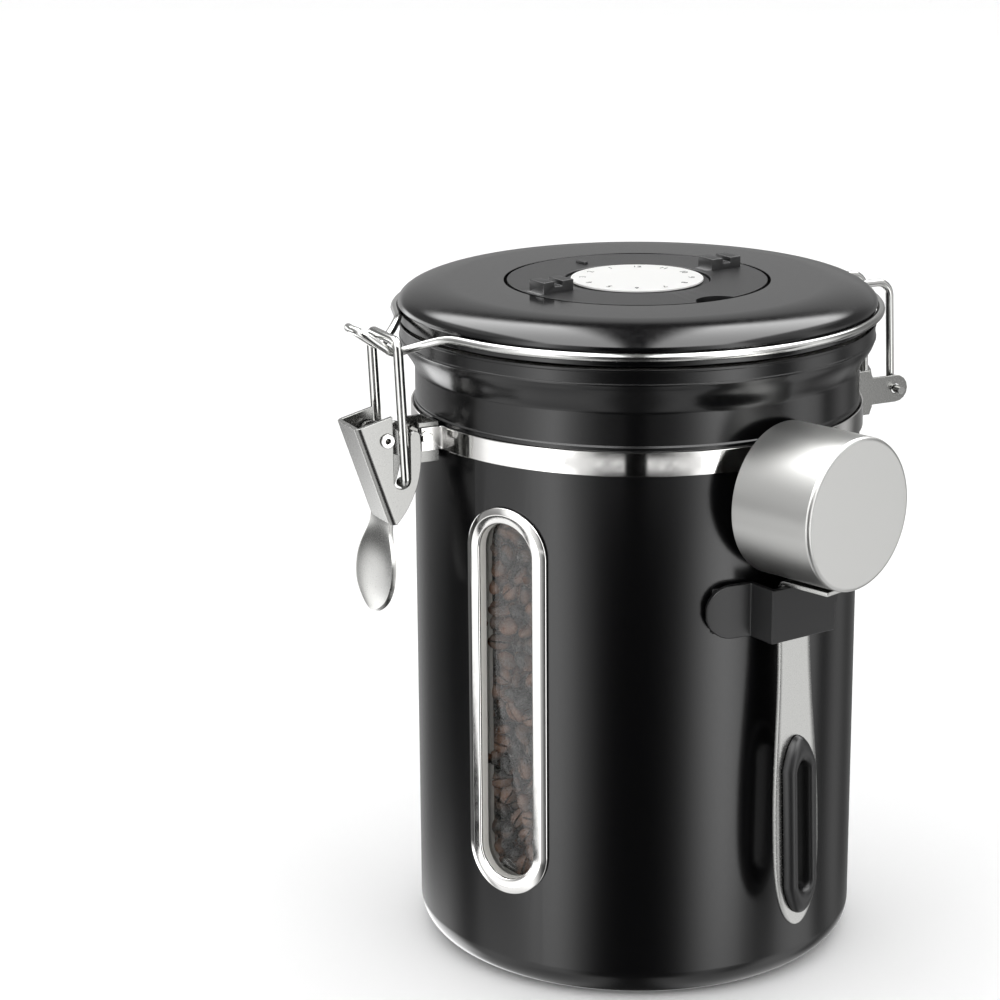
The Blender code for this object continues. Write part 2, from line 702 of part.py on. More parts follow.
def web_outline():
    """Outer web of the lever, from its top edge down into the spoon tab's neck."""
    top = Vector((CHEEK_TOP_OUTER, CHEEK_TOP_OUTER_RISE))
    foot = Vector((-CHEEK_FOOT_OUT, -CHEEK_FOOT_DROP))
    along = (top - foot).normalized()
    inward = Vector((-along.y, along.x)) * LEVER_SHEET
    return [tuple(top), tuple(top + inward), tuple(foot + inward), tuple(foot)]


def build_spoon_tab():
    """Spoon-shaped tab below the cheeks, dished and leaning out a little."""
    stations = [
        (-CHEEK_FOOT_DROP + LEVER_SHEET * 2, LEVER_HALF_WIDTH - LEVER_SHEET / 2, 0),
        (-CHEEK_FOOT_DROP, LEVER_HALF_WIDTH - LEVER_SHEET / 2, 0),
        (-TAB_NECK_DROP, TAB_NECK_HALF_WIDTH, TAB_NECK_DISH_SHARE),
    ]
    swell = TAB_WIDEST_DROP - TAB_NECK_DROP
    for step in range(1, END_STEPS // 2 + 1):
        share = step / (END_STEPS // 2)
        ease = (1 - math.cos(share * math.pi)) / 2
        width = TAB_NECK_HALF_WIDTH + (TAB_HALF_WIDTH - TAB_NECK_HALF_WIDTH) * ease
        dish = TAB_NECK_DISH_SHARE + (1 - TAB_NECK_DISH_SHARE) * share
        stations.append((-TAB_NECK_DROP - swell * share, width, dish))
    tail = TAB_END_DROP - TAB_WIDEST_DROP
    for step in range(1, END_STEPS // 2 + 1):
        angle = math.pi / 2 * step / (END_STEPS // 2)
        width = max(TAB_HALF_WIDTH * math.cos(angle), TAB_END_HALF_WIDTH)
        stations.append((-TAB_WIDEST_DROP - tail * math.sin(angle), width, math.cos(angle)))
    rows = []
    fall = TAB_END_DROP - CHEEK_FOOT_DROP
    for drop, width, dish_share in stations:
        lean = TAB_LEAN * (-drop - CHEEK_FOOT_DROP) / fall
        row = []
        for column in range(TAB_COLUMNS + 1):
            side = column * 2 / TAB_COLUMNS - 1
            dish = TAB_DISH * dish_share * (side * side - 1)
            row.append(pivot_place(lean + dish - LEVER_SHEET / 2 - CHEEK_FOOT_OUT, drop, width * side))
        rows.append(row)
    return sheet("lever_tab", rows, LEVER_SHEET, satin_steel("lever_tab"))


def build_lever():
    """Folded lever: two slotted cheeks, the web between them and the spoon tab."""
    material = satin_steel("latch_lever")
    inner = LEVER_HALF_WIDTH - LEVER_SHEET
    lever = slab("latch_lever", web_outline(), -LEVER_HALF_WIDTH, LEVER_HALF_WIDTH, pivot_place, material)
    for side, name in ((-1, "lever_cheek_left"), (1, "lever_cheek_right")):
        cheek = slab(name, cheek_outline(), side * inner, side * LEVER_HALF_WIDTH, pivot_place, material)
        combine(lever, cheek, "UNION")
    combine(lever, build_spoon_tab(), "UNION")
    return combine(lever, rivet_cutter("lever_rivet_cutter"), "DIFFERENCE")


def rivet_cutter(name):
    return rod(name, RIVET_RADIUS + GAP, pivot_place(0, 0, 0), (1, 0, 0),
               (LEVER_HALF_WIDTH + OVERRUN) * 2, bright_steel(name), SMALL_STEPS)


def build_rivet():
    """Tubular rivet, the lever's pivot, rolled over at both ends."""
    seat = LEVER_HALF_WIDTH + GAP
    end = seat + RIVET_FLANGE
    profile = [(RIVET_BORE, -end), (RIVET_FLANGE_RADIUS, -end), (RIVET_FLANGE_RADIUS, -seat),
               (RIVET_RADIUS, -seat), (RIVET_RADIUS, seat), (RIVET_FLANGE_RADIUS, seat),
               (RIVET_FLANGE_RADIUS, end), (RIVET_BORE, end)]
    rivet = revolve("lever_rivet", profile, bright_steel("lever_rivet"), SMALL_STEPS // 2)
    return lay_along_x(rivet, pivot_place(0, 0, 0))


def arm_outline(back):
    """Side of the latch bracket: deep at the band, waisted, and round at the pivot."""
    top = BRACKET_TOP - PIVOT_HEIGHT
    bottom = BRACKET_BOTTOM - PIVOT_HEIGHT
    stop = -(PIVOT_OUT - BOLT_OUT) + BOLT_HEAD_RADIUS - GAP
    end = arc((0, 0), ARM_END_RADIUS, -math.pi / 2, math.pi / 2, BEND_STEPS * 2)
    return [(back, bottom), (stop, bottom)] + end + [
        (-ARM_SHOULDER_OUT, ARM_SHOULDER_RISE), (-ARM_WAIST_OUT, -ARM_WAIST_DROP),
        (stop, -ARM_WAIST_DROP), (stop, top), (back, top)]


def build_latch_bracket():
    """Folded bracket on the band: a back web and two arms that carry the rivet."""
    material = satin_steel("latch_bracket")
    back = -PIVOT_REACH
    top = BRACKET_TOP - PIVOT_HEIGHT
    bottom = BRACKET_BOTTOM - PIVOT_HEIGHT
    web = [(back, bottom), (back + ARM_SHEET, bottom), (back + ARM_SHEET, top), (back, top)]
    bracket = slab("latch_bracket", web, -ARM_OUTER_X, ARM_OUTER_X, pivot_place, material)
    inner = ARM_OUTER_X - ARM_SHEET
    for side, name in ((-1, "bracket_arm_left"), (1, "bracket_arm_right")):
        arm = slab(name, arm_outline(back), side * inner, side * ARM_OUTER_X, pivot_place, material)
        combine(bracket, arm, "UNION")
    combine(bracket, rivet_cutter("bracket_rivet_cutter"), "DIFFERENCE")
    return combine(bracket, bolt_cutter("bracket_bolt_cutter"), "DIFFERENCE")


def build_link():
    """Link wire: hook, leg, bar over the lid wire's loop, leg, hook."""
    leg_x = LEVER_HALF_WIDTH + LINK_LEG_CLEARANCE + LINK_RADIUS
    hook_end = ARM_OUTER_X + GAP
    hook = [(LINK_HOOK_OUT, LINK_HOOK_HEIGHT), (LINK_BAR_OUT, LINK_BAR_HEIGHT)]
    corners = [in_front(*hook[0], hook_end), in_front(*hook[0], leg_x), in_front(*hook[1], leg_x),
               in_front(*hook[1], -leg_x), in_front(*hook[0], -leg_x), in_front(*hook[0], -hook_end)]
    radii = [LINK_HOOK_BEND, LINK_BEND, LINK_BEND, LINK_HOOK_BEND]
    return wire("latch_link", rounded(corners, radii), LINK_RADIUS, bright_steel("latch_link"))


def lug_outline():
    """Side of the hinge bracket: a deep plate at the band, then a round-ended lug."""
    face = BAND_FACE
    plate = face + HINGE_PLATE_DEPTH
    end = arc((HINGE_OUT, HINGE_HEIGHT), LUG_RADIUS, -math.pi / 2, math.pi / 2, BEND_STEPS * 2)
    return [(face, HINGE_BOTTOM), (plate, HINGE_BOTTOM), (plate + HINGE_SHEET, HINGE_HEIGHT - LUG_RADIUS)] \
        + end + [(plate + HINGE_SHEET, HINGE_HEIGHT + LUG_RADIUS), (plate, HINGE_TOP), (face, HINGE_TOP)]


def build_hinge_bracket():
    """Folded bracket at the back: a web on the band and two lugs for the wire's ends."""
    material = satin_steel("hinge_bracket")
    face = BAND_FACE
    web = [(face, HINGE_BOTTOM), (face + HINGE_SHEET, HINGE_BOTTOM), (face + HINGE_SHEET, HINGE_TOP),
           (face, HINGE_TOP)]
    bracket = slab("hinge_bracket", web, -HINGE_HALF_WIDTH, HINGE_HALF_WIDTH, at_back, material)
    inner = HINGE_HALF_WIDTH - HINGE_SHEET
    for side, name in ((-1, "hinge_lug_left"), (1, "hinge_lug_right")):
        lug = slab(name, lug_outline(), side * inner, side * HINGE_HALF_WIDTH, at_back, material)
        combine(bracket, lug, "UNION")
    cutter = rod("hinge_pin_cutter", LID_WIRE_RADIUS + GAP, at_back(HINGE_OUT, HINGE_HEIGHT), (1, 0, 0),
                 (HINGE_HALF_WIDTH + OVERRUN) * 2, material, SMALL_STEPS)
    return combine(bracket, cutter, "DIFFERENCE")


def build_lid_wire():
    """One wire: turned end in the hinge, leg, ring round the lid, loop at the latch, and back."""
    ring = LID_RADIUS - LID_GROOVE + GAP + LID_WIRE_RADIUS
    join = math.asin(LID_LEG_X / ring)
    sweep = math.pi - join - LOOP_START_AZIMUTH
    steps = ROUND_STEPS // 2 - BEND_STEPS
    turns = [math.pi - join - sweep * step / steps for step in range(steps + 1)]
    round_lid = [on_round(ring, turn, LID_WIRE_HEIGHT) for turn in turns]
    leg = [at_back(HINGE_OUT, HINGE_HEIGHT, LID_PIN_END_X), at_back(HINGE_OUT, HINGE_HEIGHT, LID_LEG_X),
           at_back(HINGE_OUT - LID_LEG_TILT, LID_WIRE_HEIGHT, LID_LEG_X), round_lid[0], round_lid[1]]
    under_bar = LINK_BAR_HEIGHT - LINK_RADIUS - GAP - LID_WIRE_RADIUS - GAP
    before_bar = LINK_BAR_OUT - LINK_RADIUS * 2
    after_bar = LINK_BAR_OUT + LINK_RADIUS
    tip_out = LINK_BAR_OUT + LOOP_TIP_REACH
    tip_height = LID_WIRE_HEIGHT + LOOP_TIP_RISE
    mid_x = (round_lid[-1].x + LOOP_WAIST_X) / 2
    mid_out = (-round_lid[-1].y + before_bar) / 2
    loop = [round_lid[-1],
            in_front(mid_out, (LID_WIRE_HEIGHT + under_bar) / 2, mid_x),
            in_front(before_bar, under_bar, LOOP_WAIST_X + LINK_RADIUS / 2),
            in_front(LINK_BAR_OUT, under_bar - GAP, LOOP_WAIST_X),
            in_front(after_bar + LINK_RADIUS, under_bar + LINK_RADIUS, LOOP_WAIST_X),
            in_front(tip_out - LINK_RADIUS, tip_height - LINK_RADIUS / 2, LOOP_WAIST_X - LID_WIRE_RADIUS),
            in_front(tip_out, tip_height, 0)]
    half = rounded(leg, [LID_PIN_BEND, LID_LEG_BEND, LID_JOIN_BEND])[:-1] + round_lid[1:-1] \
        + smooth_curve(loop, BEND_STEPS)
    other = [Vector((-spot.x, spot.y, spot.z)) for spot in reversed(half[:-1])]
    return wire("lid_wire", half + other, LID_WIRE_RADIUS, bright_steel("lid_wire"))


def roll(inset):
    """The lid's rolled edge, from its flat top to its widest place, inset for the inner face."""
    across = LID_RADIUS - LID_FLAT_RADIUS - inset
    rise = LID_ROLL_HEIGHT - inset
    foot = LID_TOP - LID_ROLL_HEIGHT
    points = []
    for step in range(LID_ROLL_STEPS + 1):
        angle = math.pi / 2 * (1 - step / LID_ROLL_STEPS)
        points.append((LID_FLAT_RADIUS + across * math.cos(angle), foot + rise * math.sin(angle)))
    return points


def build_lid_shell():
    """Outer half of the lid: dial recess, flat top, rolled edge, wire groove and lip."""
    floor = LID_TOP - RECESS_DEPTH
    bore = HUB_STEM_RADIUS + GAP
    recess_wall = RECESS_RADIUS + LID_WALL
    foot = LID_TOP - LID_ROLL_HEIGHT
    inner_roll = roll(LID_WALL)
    rib_outer = LID_RIB_RADIUS + LID_RIB_WALL
    rib_bottom = pan_flange_top() + GAP
    before_rib = [spot for spot in inner_roll if spot[0] < LID_RIB_RADIUS - GAP]
    after_rib = [spot for spot in inner_roll if spot[0] > rib_outer + GAP]
    outside = [(bore, floor), (RECESS_RADIUS, floor), (RECESS_RADIUS, LID_TOP)] + roll(0) + [
        (LID_LIP_OUTER, foot - LID_GROOVE), (LID_LIP_OUTER, LID_LIP_HEIGHT),
        (LID_LIP_INNER, LID_LIP_HEIGHT), (LID_LIP_INNER, foot - LID_WALL)]
    inside = list(reversed(after_rib))[1:] + [(rib_outer, before_rib[-1][1]), (rib_outer, rib_bottom),
                                              (LID_RIB_RADIUS, rib_bottom)] + list(reversed(before_rib))
    under = [(recess_wall, LID_TOP - LID_WALL), (recess_wall, floor - RECESS_FLOOR),
             (bore + BOSS_WALL, floor - RECESS_FLOOR), (bore + BOSS_WALL, BOSS_BOTTOM), (bore, BOSS_BOTTOM)]
    return revolve("lid_shell", outside + inside + under, gloss_black("lid_shell"))


def seal_bottom():
    return RIM_HEIGHT + GAP


def pan_flange_top():
    return LID_WIRE_HEIGHT + PAN_WALL


def build_lid_pan():
    """Inner half of the lid: a shallow pan with a flange above the gasket."""
    bore = HUB_STEM_RADIUS + GAP
    top = pan_flange_top()
    profile = [(bore, PAN_FLOOR_HEIGHT), (PAN_FLOOR_RADIUS, PAN_FLOOR_HEIGHT),
               (PAN_CORNER_RADIUS, PAN_CORNER_HEIGHT), (PAN_NECK_RADIUS, seal_bottom()),
               (PAN_NECK_RADIUS, top - PAN_WALL),
               (PAN_FLANGE_RADIUS, top - PAN_WALL), (PAN_FLANGE_RADIUS, top),
               (PAN_NECK_RADIUS - PAN_WALL, top), (PAN_NECK_RADIUS - PAN_WALL, seal_bottom()),
               (PAN_CORNER_RADIUS - PAN_WALL, PAN_CORNER_HEIGHT + PAN_WALL / 2),
               (PAN_FLOOR_RADIUS - PAN_WALL / 2, PAN_FLOOR_HEIGHT + PAN_WALL),
               (bore, PAN_FLOOR_HEIGHT + PAN_WALL)]
    return revolve("lid_pan", profile, moulded_black("lid_pan"), INNER_STEPS)


def build_lid_gasket():
    """Silicone seal under the pan's flange, with two lips on the rim."""
    top = pan_flange_top() - PAN_WALL - GAP
    bottom = seal_bottom()
    raised = bottom + SEAL_LIP
    step = (SEAL_OUTER - SEAL_INNER) / 6
    profile = [(SEAL_INNER, top), (SEAL_INNER, raised), (SEAL_INNER + step, raised),
               (SEAL_INNER + step * 3, bottom), (SEAL_INNER + step * 4, raised),
               (SEAL_INNER + step * 5, bottom), (SEAL_OUTER, raised), (SEAL_OUTER, top)]
    return revolve("lid_gasket", profile, silicone("lid_gasket"), INNER_STEPS)


def dial_bottom():
    return LID_TOP - RECESS_DEPTH + GAP


def dial_place(azimuth):
    """Places on the dial along one azimuth: out from the centre, height and across."""
    side = Vector((math.cos(azimuth), math.sin(azimuth), 0))

    def place(out, height, across):
        return on_round(out, azimuth, height) + side * across
    return place


def build_dial_ring():
    """Turning ring with two stepped finger tabs, a pointer ridge and a notch in its edge."""
    material = moulded_black("dial_ring")
    bottom = dial_bottom()
    ledge = bottom + DIAL_LEDGE
    profile = [(DIAL_BORE, bottom), (DIAL_RADIUS, bottom), (DIAL_RADIUS, LID_TOP - DIAL_EDGE),
               (DIAL_RADIUS - DIAL_EDGE, LID_TOP), (DIAL_COUNTERBORE + DIAL_EDGE, LID_TOP),
               (DIAL_COUNTERBORE, LID_TOP - DIAL_EDGE), (DIAL_COUNTERBORE, ledge), (DIAL_BORE, ledge)]
    ring = revolve("dial_ring", profile, material)
    low = LID_TOP - DIAL_LEDGE
    high = LID_TOP + TAB_HEIGHT
    valley = LID_TOP + TAB_VALLEY
    far = TAB_INNER + TAB_LENGTH
    tab = [(TAB_INNER, low), (far, low), (far, high), (far - TAB_RIDGE, high), (far - TAB_RIDGE, valley),
           (TAB_INNER + TAB_RIDGE, valley), (TAB_INNER + TAB_RIDGE, high), (TAB_INNER, high)]
    for azimuth, name in zip(TAB_AZIMUTHS, ("dial_tab_front", "dial_tab_back")):
        block = slab(name, tab, -TAB_WIDTH / 2, TAB_WIDTH / 2, dial_place(azimuth), material)
        combine(ring, block, "UNION")
    ridge_far = RIDGE_RADIUS + RIDGE_LENGTH
    ridge = [(RIDGE_RADIUS, low), (ridge_far, low), (ridge_far, LID_TOP + RIDGE_HEIGHT),
             (RIDGE_RADIUS, LID_TOP + RIDGE_HEIGHT)]
    combine(ring, slab("dial_ridge", ridge, -RIDGE_WIDTH / 2, RIDGE_WIDTH / 2, dial_place(RIDGE_AZIMUTH),
                       material), "UNION")
    notch_height = NOTCH_DEPTH + OVERRUN
    spot = on_round(DIAL_RADIUS + NOTCH_OVERHANG, NOTCH_AZIMUTH, LID_TOP - NOTCH_DEPTH + notch_height / 2)
    notch = rod("dial_notch", NOTCH_RADIUS, spot, (0, 0, 1), notch_height, material, SMALL_STEPS)
    return combine(ring, notch, "DIFFERENCE")


def hub_top():
    return dial_bottom() + DIAL_LEDGE + GAP + HUB_FLANGE


def build_dial_hub():
    """Hub: a flange that holds the dial down and a threaded tube through the lid."""
    top = hub_top()
    flange_radius = DIAL_COUNTERBORE - GAP
    shoulder_radius = DIAL_BORE - GAP
    profile = [(HUB_LIP_BORE, HUB_BOTTOM), (HUB_STEM_RADIUS, HUB_BOTTOM), (HUB_STEM_RADIUS, dial_bottom()),
               (shoulder_radius, dial_bottom()), (shoulder_radius, top - HUB_FLANGE),
               (flange_radius, top - HUB_FLANGE), (flange_radius, top), (HUB_BORE, top),
               (HUB_BORE, HUB_BOTTOM + HUB_LIP), (HUB_LIP_BORE, HUB_BOTTOM + HUB_LIP)]
    return revolve("dial_hub", profile, moulded_black("dial_hub"), INNER_STEPS)


def build_date_disc():
    bottom = hub_top() + GAP
    profile = [(0, bottom), (DISC_RADIUS, bottom), (DISC_RADIUS, bottom + DISC_THICKNESS),
               (0, bottom + DISC_THICKNESS)]
    return revolve("date_disc", profile, white_plastic("date_disc"), INNER_STEPS)


def build_hub_gasket():
    """Seal between the lid's boss and the pan, round the hub's tube."""
    inner = HUB_STEM_RADIUS + GAP
    bottom = PAN_FLOOR_HEIGHT + PAN_WALL + GAP
    top = BOSS_BOTTOM - GAP
    profile = [(inner, bottom), (inner + BOSS_WALL, bottom), (inner + BOSS_WALL, top), (inner, top)]
    return revolve("hub_gasket", profile, silicone("hub_gasket"), INNER_STEPS)


def drill_circle(part, count, circle, radius, material):
    """Drill a circle of upright holes through a part."""
    for index in range(count):
        spot = on_round(circle, DRILL_PHASE + math.tau * index / count, HUB_BOTTOM)
        name = f"{part.name}_drill_{index}"
        combine(part, rod(name, radius, spot, (0, 0, 1), HUB_BORE * 2, material), "DIFFERENCE")
    return part


def screen_bottom():
    return HUB_BOTTOM + HUB_LIP + GAP


def seat_bottom():
    return screen_bottom() + SCREEN_THICKNESS + GAP


def build_filter_screen():
    material = satin_steel("filter_screen")
    radius = HUB_BORE - GAP
    bottom = screen_bottom()
    profile = [(0, bottom), (radius, bottom), (radius, bottom + SCREEN_THICKNESS),
               (0, bottom + SCREEN_THICKNESS)]
    screen = revolve("filter_screen", profile, material, SMALL_STEPS)
    return drill_circle(screen, SCREEN_HOLES, SCREEN_HOLE_CIRCLE, SCREEN_HOLE, material)


def build_valve_seat():
    """Seat plate with gas holes and the pin that guides the valve disc."""
    material = moulded_black("valve_seat")
    radius = HUB_BORE - GAP
    bottom = seat_bottom()
    top = bottom + SEAT_THICKNESS
    profile = [(0, bottom), (radius, bottom), (radius, top), (SEAT_PIN_RADIUS, top),
               (SEAT_PIN_RADIUS, top + SEAT_PIN_HEIGHT), (0, top + SEAT_PIN_HEIGHT)]
    seat = revolve("valve_seat", profile, material, SMALL_STEPS)
    return drill_circle(seat, SEAT_HOLES, SEAT_HOLE_CIRCLE, SEAT_HOLE, material)


def build_valve_disc():
    """Silicone disc that covers the seat's holes and lifts when gas pushes."""
    bottom = seat_bottom() + SEAT_THICKNESS + GAP
    inner = SEAT_PIN_RADIUS + GAP
    top = bottom + VALVE_DISC_THICKNESS
    outer = HUB_BORE - VALVE_DISC_INSET
    profile = [(inner, bottom), (outer, bottom), (outer, top), (inner, top)]
    return revolve("valve_disc", profile, silicone("valve_disc"), SMALL_STEPS)


def build_valve_nut():
    """Ring nut under the pan, notched round its edge for a key."""
    material = moulded_black("valve_nut")
    top = PAN_FLOOR_HEIGHT - GAP
    inner = HUB_STEM_RADIUS + GAP
    profile = [(inner, top - NUT_HEIGHT), (NUT_RADIUS, top - NUT_HEIGHT), (NUT_RADIUS, top), (inner, top)]
    nut = revolve("valve_nut", profile, material, INNER_STEPS)
    for index in range(NUT_NOTCHES):
        spot = on_round(NUT_RADIUS, math.tau * index / NUT_NOTCHES, PAN_FLOOR_HEIGHT)
        cutter = rod(f"nut_notch_{index}", NUT_NOTCH / 2, spot, (0, 0, 1), NUT_HEIGHT * 3, material)
        combine(nut, cutter, "DIFFERENCE")
    return nut


def holder_place(lateral, out, height):
    """A place beside the holder's middle: across, out from the canister's axis, and height."""
    side = Vector((math.cos(HOLDER_AZIMUTH), math.sin(HOLDER_AZIMUTH), 0))
    return on_round(out, HOLDER_AZIMUTH, height) + side * lateral


def round_end_stations(radius, start_angle, end_angle, end_radius):
    """Places along a wing with a half-round end: (angle, half height) from its tip inwards."""
    stations = []
    for step in range(1, BEND_STEPS * 2):
        turn = math.pi / 2 * step / (BEND_STEPS * 2 - 1)
        reach = end_radius * (1 - math.cos(turn))
        stations.append((start_angle - reach / radius, end_radius * math.sin(turn)))
    stations.append((end_angle, end_radius))
    return stations


def build_holder():
    """Holder: two wings on the wall and a U-shaped strap that leaves a slot for the handle."""
    half = (HOLDER_TOP - HOLDER_BOTTOM) / 2
    middle = HOLDER_BOTTOM + half
    wing = BODY_RADIUS + GAP * 2 + PAD_THICKNESS + HOLDER_WALL / 2
    side = HOLDER_FRONT_WIDTH / 2 - HOLDER_WALL / 2
    front = HOLDER_FRONT_OUT - HOLDER_WALL / 2
    bend = math.asin(side / wing)
    spots = [(wing * math.sin(angle), wing * math.cos(angle), height)
             for angle, height in round_end_stations(wing, HOLDER_WING_ANGLE, bend, half)]
    spots.append((side, front, half))
    other = [(-lateral, out, height) for lateral, out, height in reversed(spots)]
    rows = [[holder_place(lateral, out, middle - height), holder_place(lateral, out, middle + height)]
            for lateral, out, height in spots + other]
    return sheet("scoop_holder", rows, HOLDER_WALL, moulded_black("scoop_holder"))


def build_pad(side, name):
    """Adhesive foam pad between one of the holder's wings and the wall."""
    half = (HOLDER_TOP - HOLDER_BOTTOM) / 2 - PAD_MARGIN
    middle = (HOLDER_TOP + HOLDER_BOTTOM) / 2
    radius = BODY_RADIUS + GAP + PAD_THICKNESS / 2
    inner = math.asin(HOLDER_FRONT_WIDTH / 2 / radius)
    outer = HOLDER_WING_ANGLE - PAD_MARGIN * 2 / radius
    rows = []
    for step in range(BEND_STEPS + 1):
        angle = side * (inner + (outer - inner) * step / BEND_STEPS)
        spot = (radius * math.sin(angle), radius * math.cos(angle))
        rows.append([holder_place(*spot, middle - half), holder_place(*spot, middle + half)])
    return sheet(name, rows, PAD_THICKNESS, moulded_black(name))


def scoop_mouth():
    """Distance of the scoop's mouth from the canister's axis, just clear of the band."""
    return BAND_FACE


def scoop_place(out, lateral, height):
    """A place on the scoop: out from its mouth plane, across from its middle, and height."""
    azimuth = HOLDER_AZIMUTH + SCOOP_TURN
    side = Vector((math.cos(azimuth), math.sin(azimuth), 0))
    offset = -(scoop_mouth() + HANDLE_OUT) * math.tan(SCOOP_TURN)
    return on_round(scoop_mouth() + out, azimuth, height) + side * (offset + lateral)


def tongue_height():
    return HOLDER_TOP + GAP + HANDLE_THICKNESS / 2


def cup_height():
    return tongue_height() + HANDLE_THICKNESS / 2 + GAP + CUP_RADIUS


def build_cup():
    """Drawn steel cup, lying with its mouth to the wall and its flat end out."""
    outer = arc((CUP_RADIUS - CUP_CORNER, CUP_DEPTH - CUP_CORNER), CUP_CORNER, 0, math.pi / 2, BEND_STEPS)
    inner = arc((CUP_RADIUS - CUP_CORNER, CUP_DEPTH - CUP_CORNER), CUP_CORNER - CUP_WALL,
                math.pi / 2, 0, BEND_STEPS // 2)
    profile = [(0, CUP_DEPTH - CUP_WALL)] + inner + [(CUP_RADIUS - CUP_WALL, 0), (CUP_RADIUS, 0)] \
        + outer + [(0, CUP_DEPTH)]
    cup = revolve("scoop_cup", profile, satin_steel("scoop_cup"), SMALL_STEPS * 2)
    cup.rotation_mode = "QUATERNION"
    way = scoop_place(CUP_DEPTH, 0, 0) - scoop_place(0, 0, 0)
    cup.rotation_quaternion = Vector((0, 0, 1)).rotation_difference(way)
    cup.location = scoop_place(0, 0, cup_height())
    return cup


def handle_lean(height):
    """How far the handle stands out at a height: straight in the holder, then leaning out."""
    share = (HOLDER_BOTTOM - height) / (HOLDER_BOTTOM - HANDLE_TIP_HEIGHT)
    return HANDLE_OUT + HANDLE_LEAN * max(share, 0)


def handle_half_width(height):
    """Half width of the handle: narrow in the holder, wide at the grip, round at the tip."""
    middle = GRIP_MIDDLE
    if height > middle:
        share = min((height - middle) / (HOLDER_BOTTOM - middle), 1)
        ease = (1 + math.cos(math.pi * share)) / 2
        return HANDLE_HALF_WIDTH + (HANDLE_GRIP_HALF_WIDTH - HANDLE_HALF_WIDTH) * ease
    share = (middle - height) / (middle - HANDLE_TIP_HEIGHT)
    return HANDLE_GRIP_HALF_WIDTH * max(1 - share ** 3, 0) ** 0.5


def build_handle():
    """Steel strip: tongue under the cup, bend, stem through the holder, wide grip end."""
    corner = tongue_height() - HANDLE_BEND
    bend = arc((HANDLE_OUT + HANDLE_BEND, corner), HANDLE_BEND, math.pi / 2, math.pi, BEND_STEPS)
    spots = [(HANDLE_TONGUE, tongue_height())] + bend
    heights = [HOLDER_BOTTOM + (HANDLE_TIP_HEIGHT - HOLDER_BOTTOM) * math.sin(math.pi / 2 * step / 16)
               for step in range(16)]
    spots += [(handle_lean(height), height) for height in heights]
    rows = []
    for out, height in spots:
        half = handle_half_width(height)
        rows.append([scoop_place(out, -half, height), scoop_place(out, half, height)])
    handle = sheet("scoop_handle", rows, HANDLE_THICKNESS, satin_steel("scoop_handle"))
    margin = HANDLE_SLOT_MARGIN + GAP
    slot = [(across, along) for across, along in
            stadium(GRIP_SLOT_HALF_WIDTH + margin, GRIP_SLOT_LENGTH / 2 + margin)]
    cutter = slab("handle_slot_cutter", slot, -GRIP_PROUD, GRIP_PROUD, grip_place,
                  satin_steel("handle_slot_cutter"))
    return combine(handle, cutter, "DIFFERENCE")


def grip_place(across, along, proud):
    """A place on the grip: across, along from its slot's middle, and proud of the handle."""
    height = GRIP_MIDDLE + along
    return scoop_place(handle_lean(height) + proud, across, height)


def build_grip():
    """Oval moulded grip on both faces of the handle, joined through the handle's slot."""
    half_slot = GRIP_SLOT_LENGTH / 2
    slot = stadium(GRIP_SLOT_HALF_WIDTH, half_slot)
    half_length = GRIP_LENGTH / 2
    oval = []
    for across, along in slot:
        angle = math.atan2(along / half_slot, across / GRIP_SLOT_HALF_WIDTH)
        oval.append((GRIP_HALF_WIDTH * math.cos(angle), half_length * math.sin(angle)))
    face = HANDLE_THICKNESS / 2 + GAP
    top = face + GRIP_PROUD
    wall = HANDLE_SLOT_MARGIN / (GRIP_HALF_WIDTH - GRIP_SLOT_HALF_WIDTH) / 2
    shoulder = top - GRIP_EDGE
    rise, fall, edge = GRIP_CROWN_SHARES
    section = [(0, -shoulder), (0, shoulder), (rise, top), (fall, top), (edge, shoulder),
               (1, face + GRIP_EDGE), (1, face), (wall, face), (wall, -face), (1, -face),
               (1, -face - GRIP_EDGE), (edge, -shoulder), (fall, -top), (rise, -top)]
    return ring_between("scoop_grip", slot, oval, section, grip_place, moulded_black("scoop_grip"))


def joint_axis(name, place, parts):
    """An empty on a joint's axis that carries the parts which move about it."""
    axis = bpy.data.objects.new(name, None)
    bpy.context.scene.collection.objects.link(axis)
    axis.location = place
    bpy.context.view_layer.update()
    for part in parts:
        part.parent = axis
        part.matrix_parent_inverse = axis.matrix_world.inverted()
    return axis


def build_canister():
    clear_scene()
    build_shell()
    build_bezel()
    build_window_gasket()
    build_pane()
    build_retainer()
    build_band()
    build_bolt()
    build_latch_bracket()
    build_hinge_bracket()
    build_holder()
    build_pad(1, "holder_pad_back")
    build_pad(-1, "holder_pad_front")
    lid = [build_lid_shell(), build_lid_pan(), build_lid_gasket(), build_lid_wire(), build_dial_hub(),
           build_date_disc(), build_hub_gasket(), build_filter_screen(), build_valve_seat(),
           build_valve_nut()]
    dial = joint_axis("dial_axis", (0, 0, LID_TOP), [build_dial_ring()])
    valve = joint_axis("valve_axis", (0, 0, seat_bottom()), [build_valve_disc()])
    link = joint_axis("link_axis", in_front(LINK_BAR_OUT, LINK_BAR_HEIGHT), [build_link()])
    joint_axis("lid_axis", at_back(HINGE_OUT, HINGE_HEIGHT), lid + [dial, valve, link])
    joint_axis("lever_axis", pivot_place(0, 0, 0), [build_lever(), build_rivet()])
    joint_axis("scoop_lift", scoop_place(0, 0, tongue_height()), [build_cup(), build_handle(), build_grip()])


build_canister()
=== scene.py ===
# %% [markdown]
# # An airtight coffee canister
#
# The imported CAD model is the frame: it fixes every size and every joint. This lesson dresses it. Each
# piece that shows is modelled finely at the place the frame gives it, gets a finish made from nodes, and
# rides on the body it moves with. Hidden pieces keep their CAD shape and get a finish too.

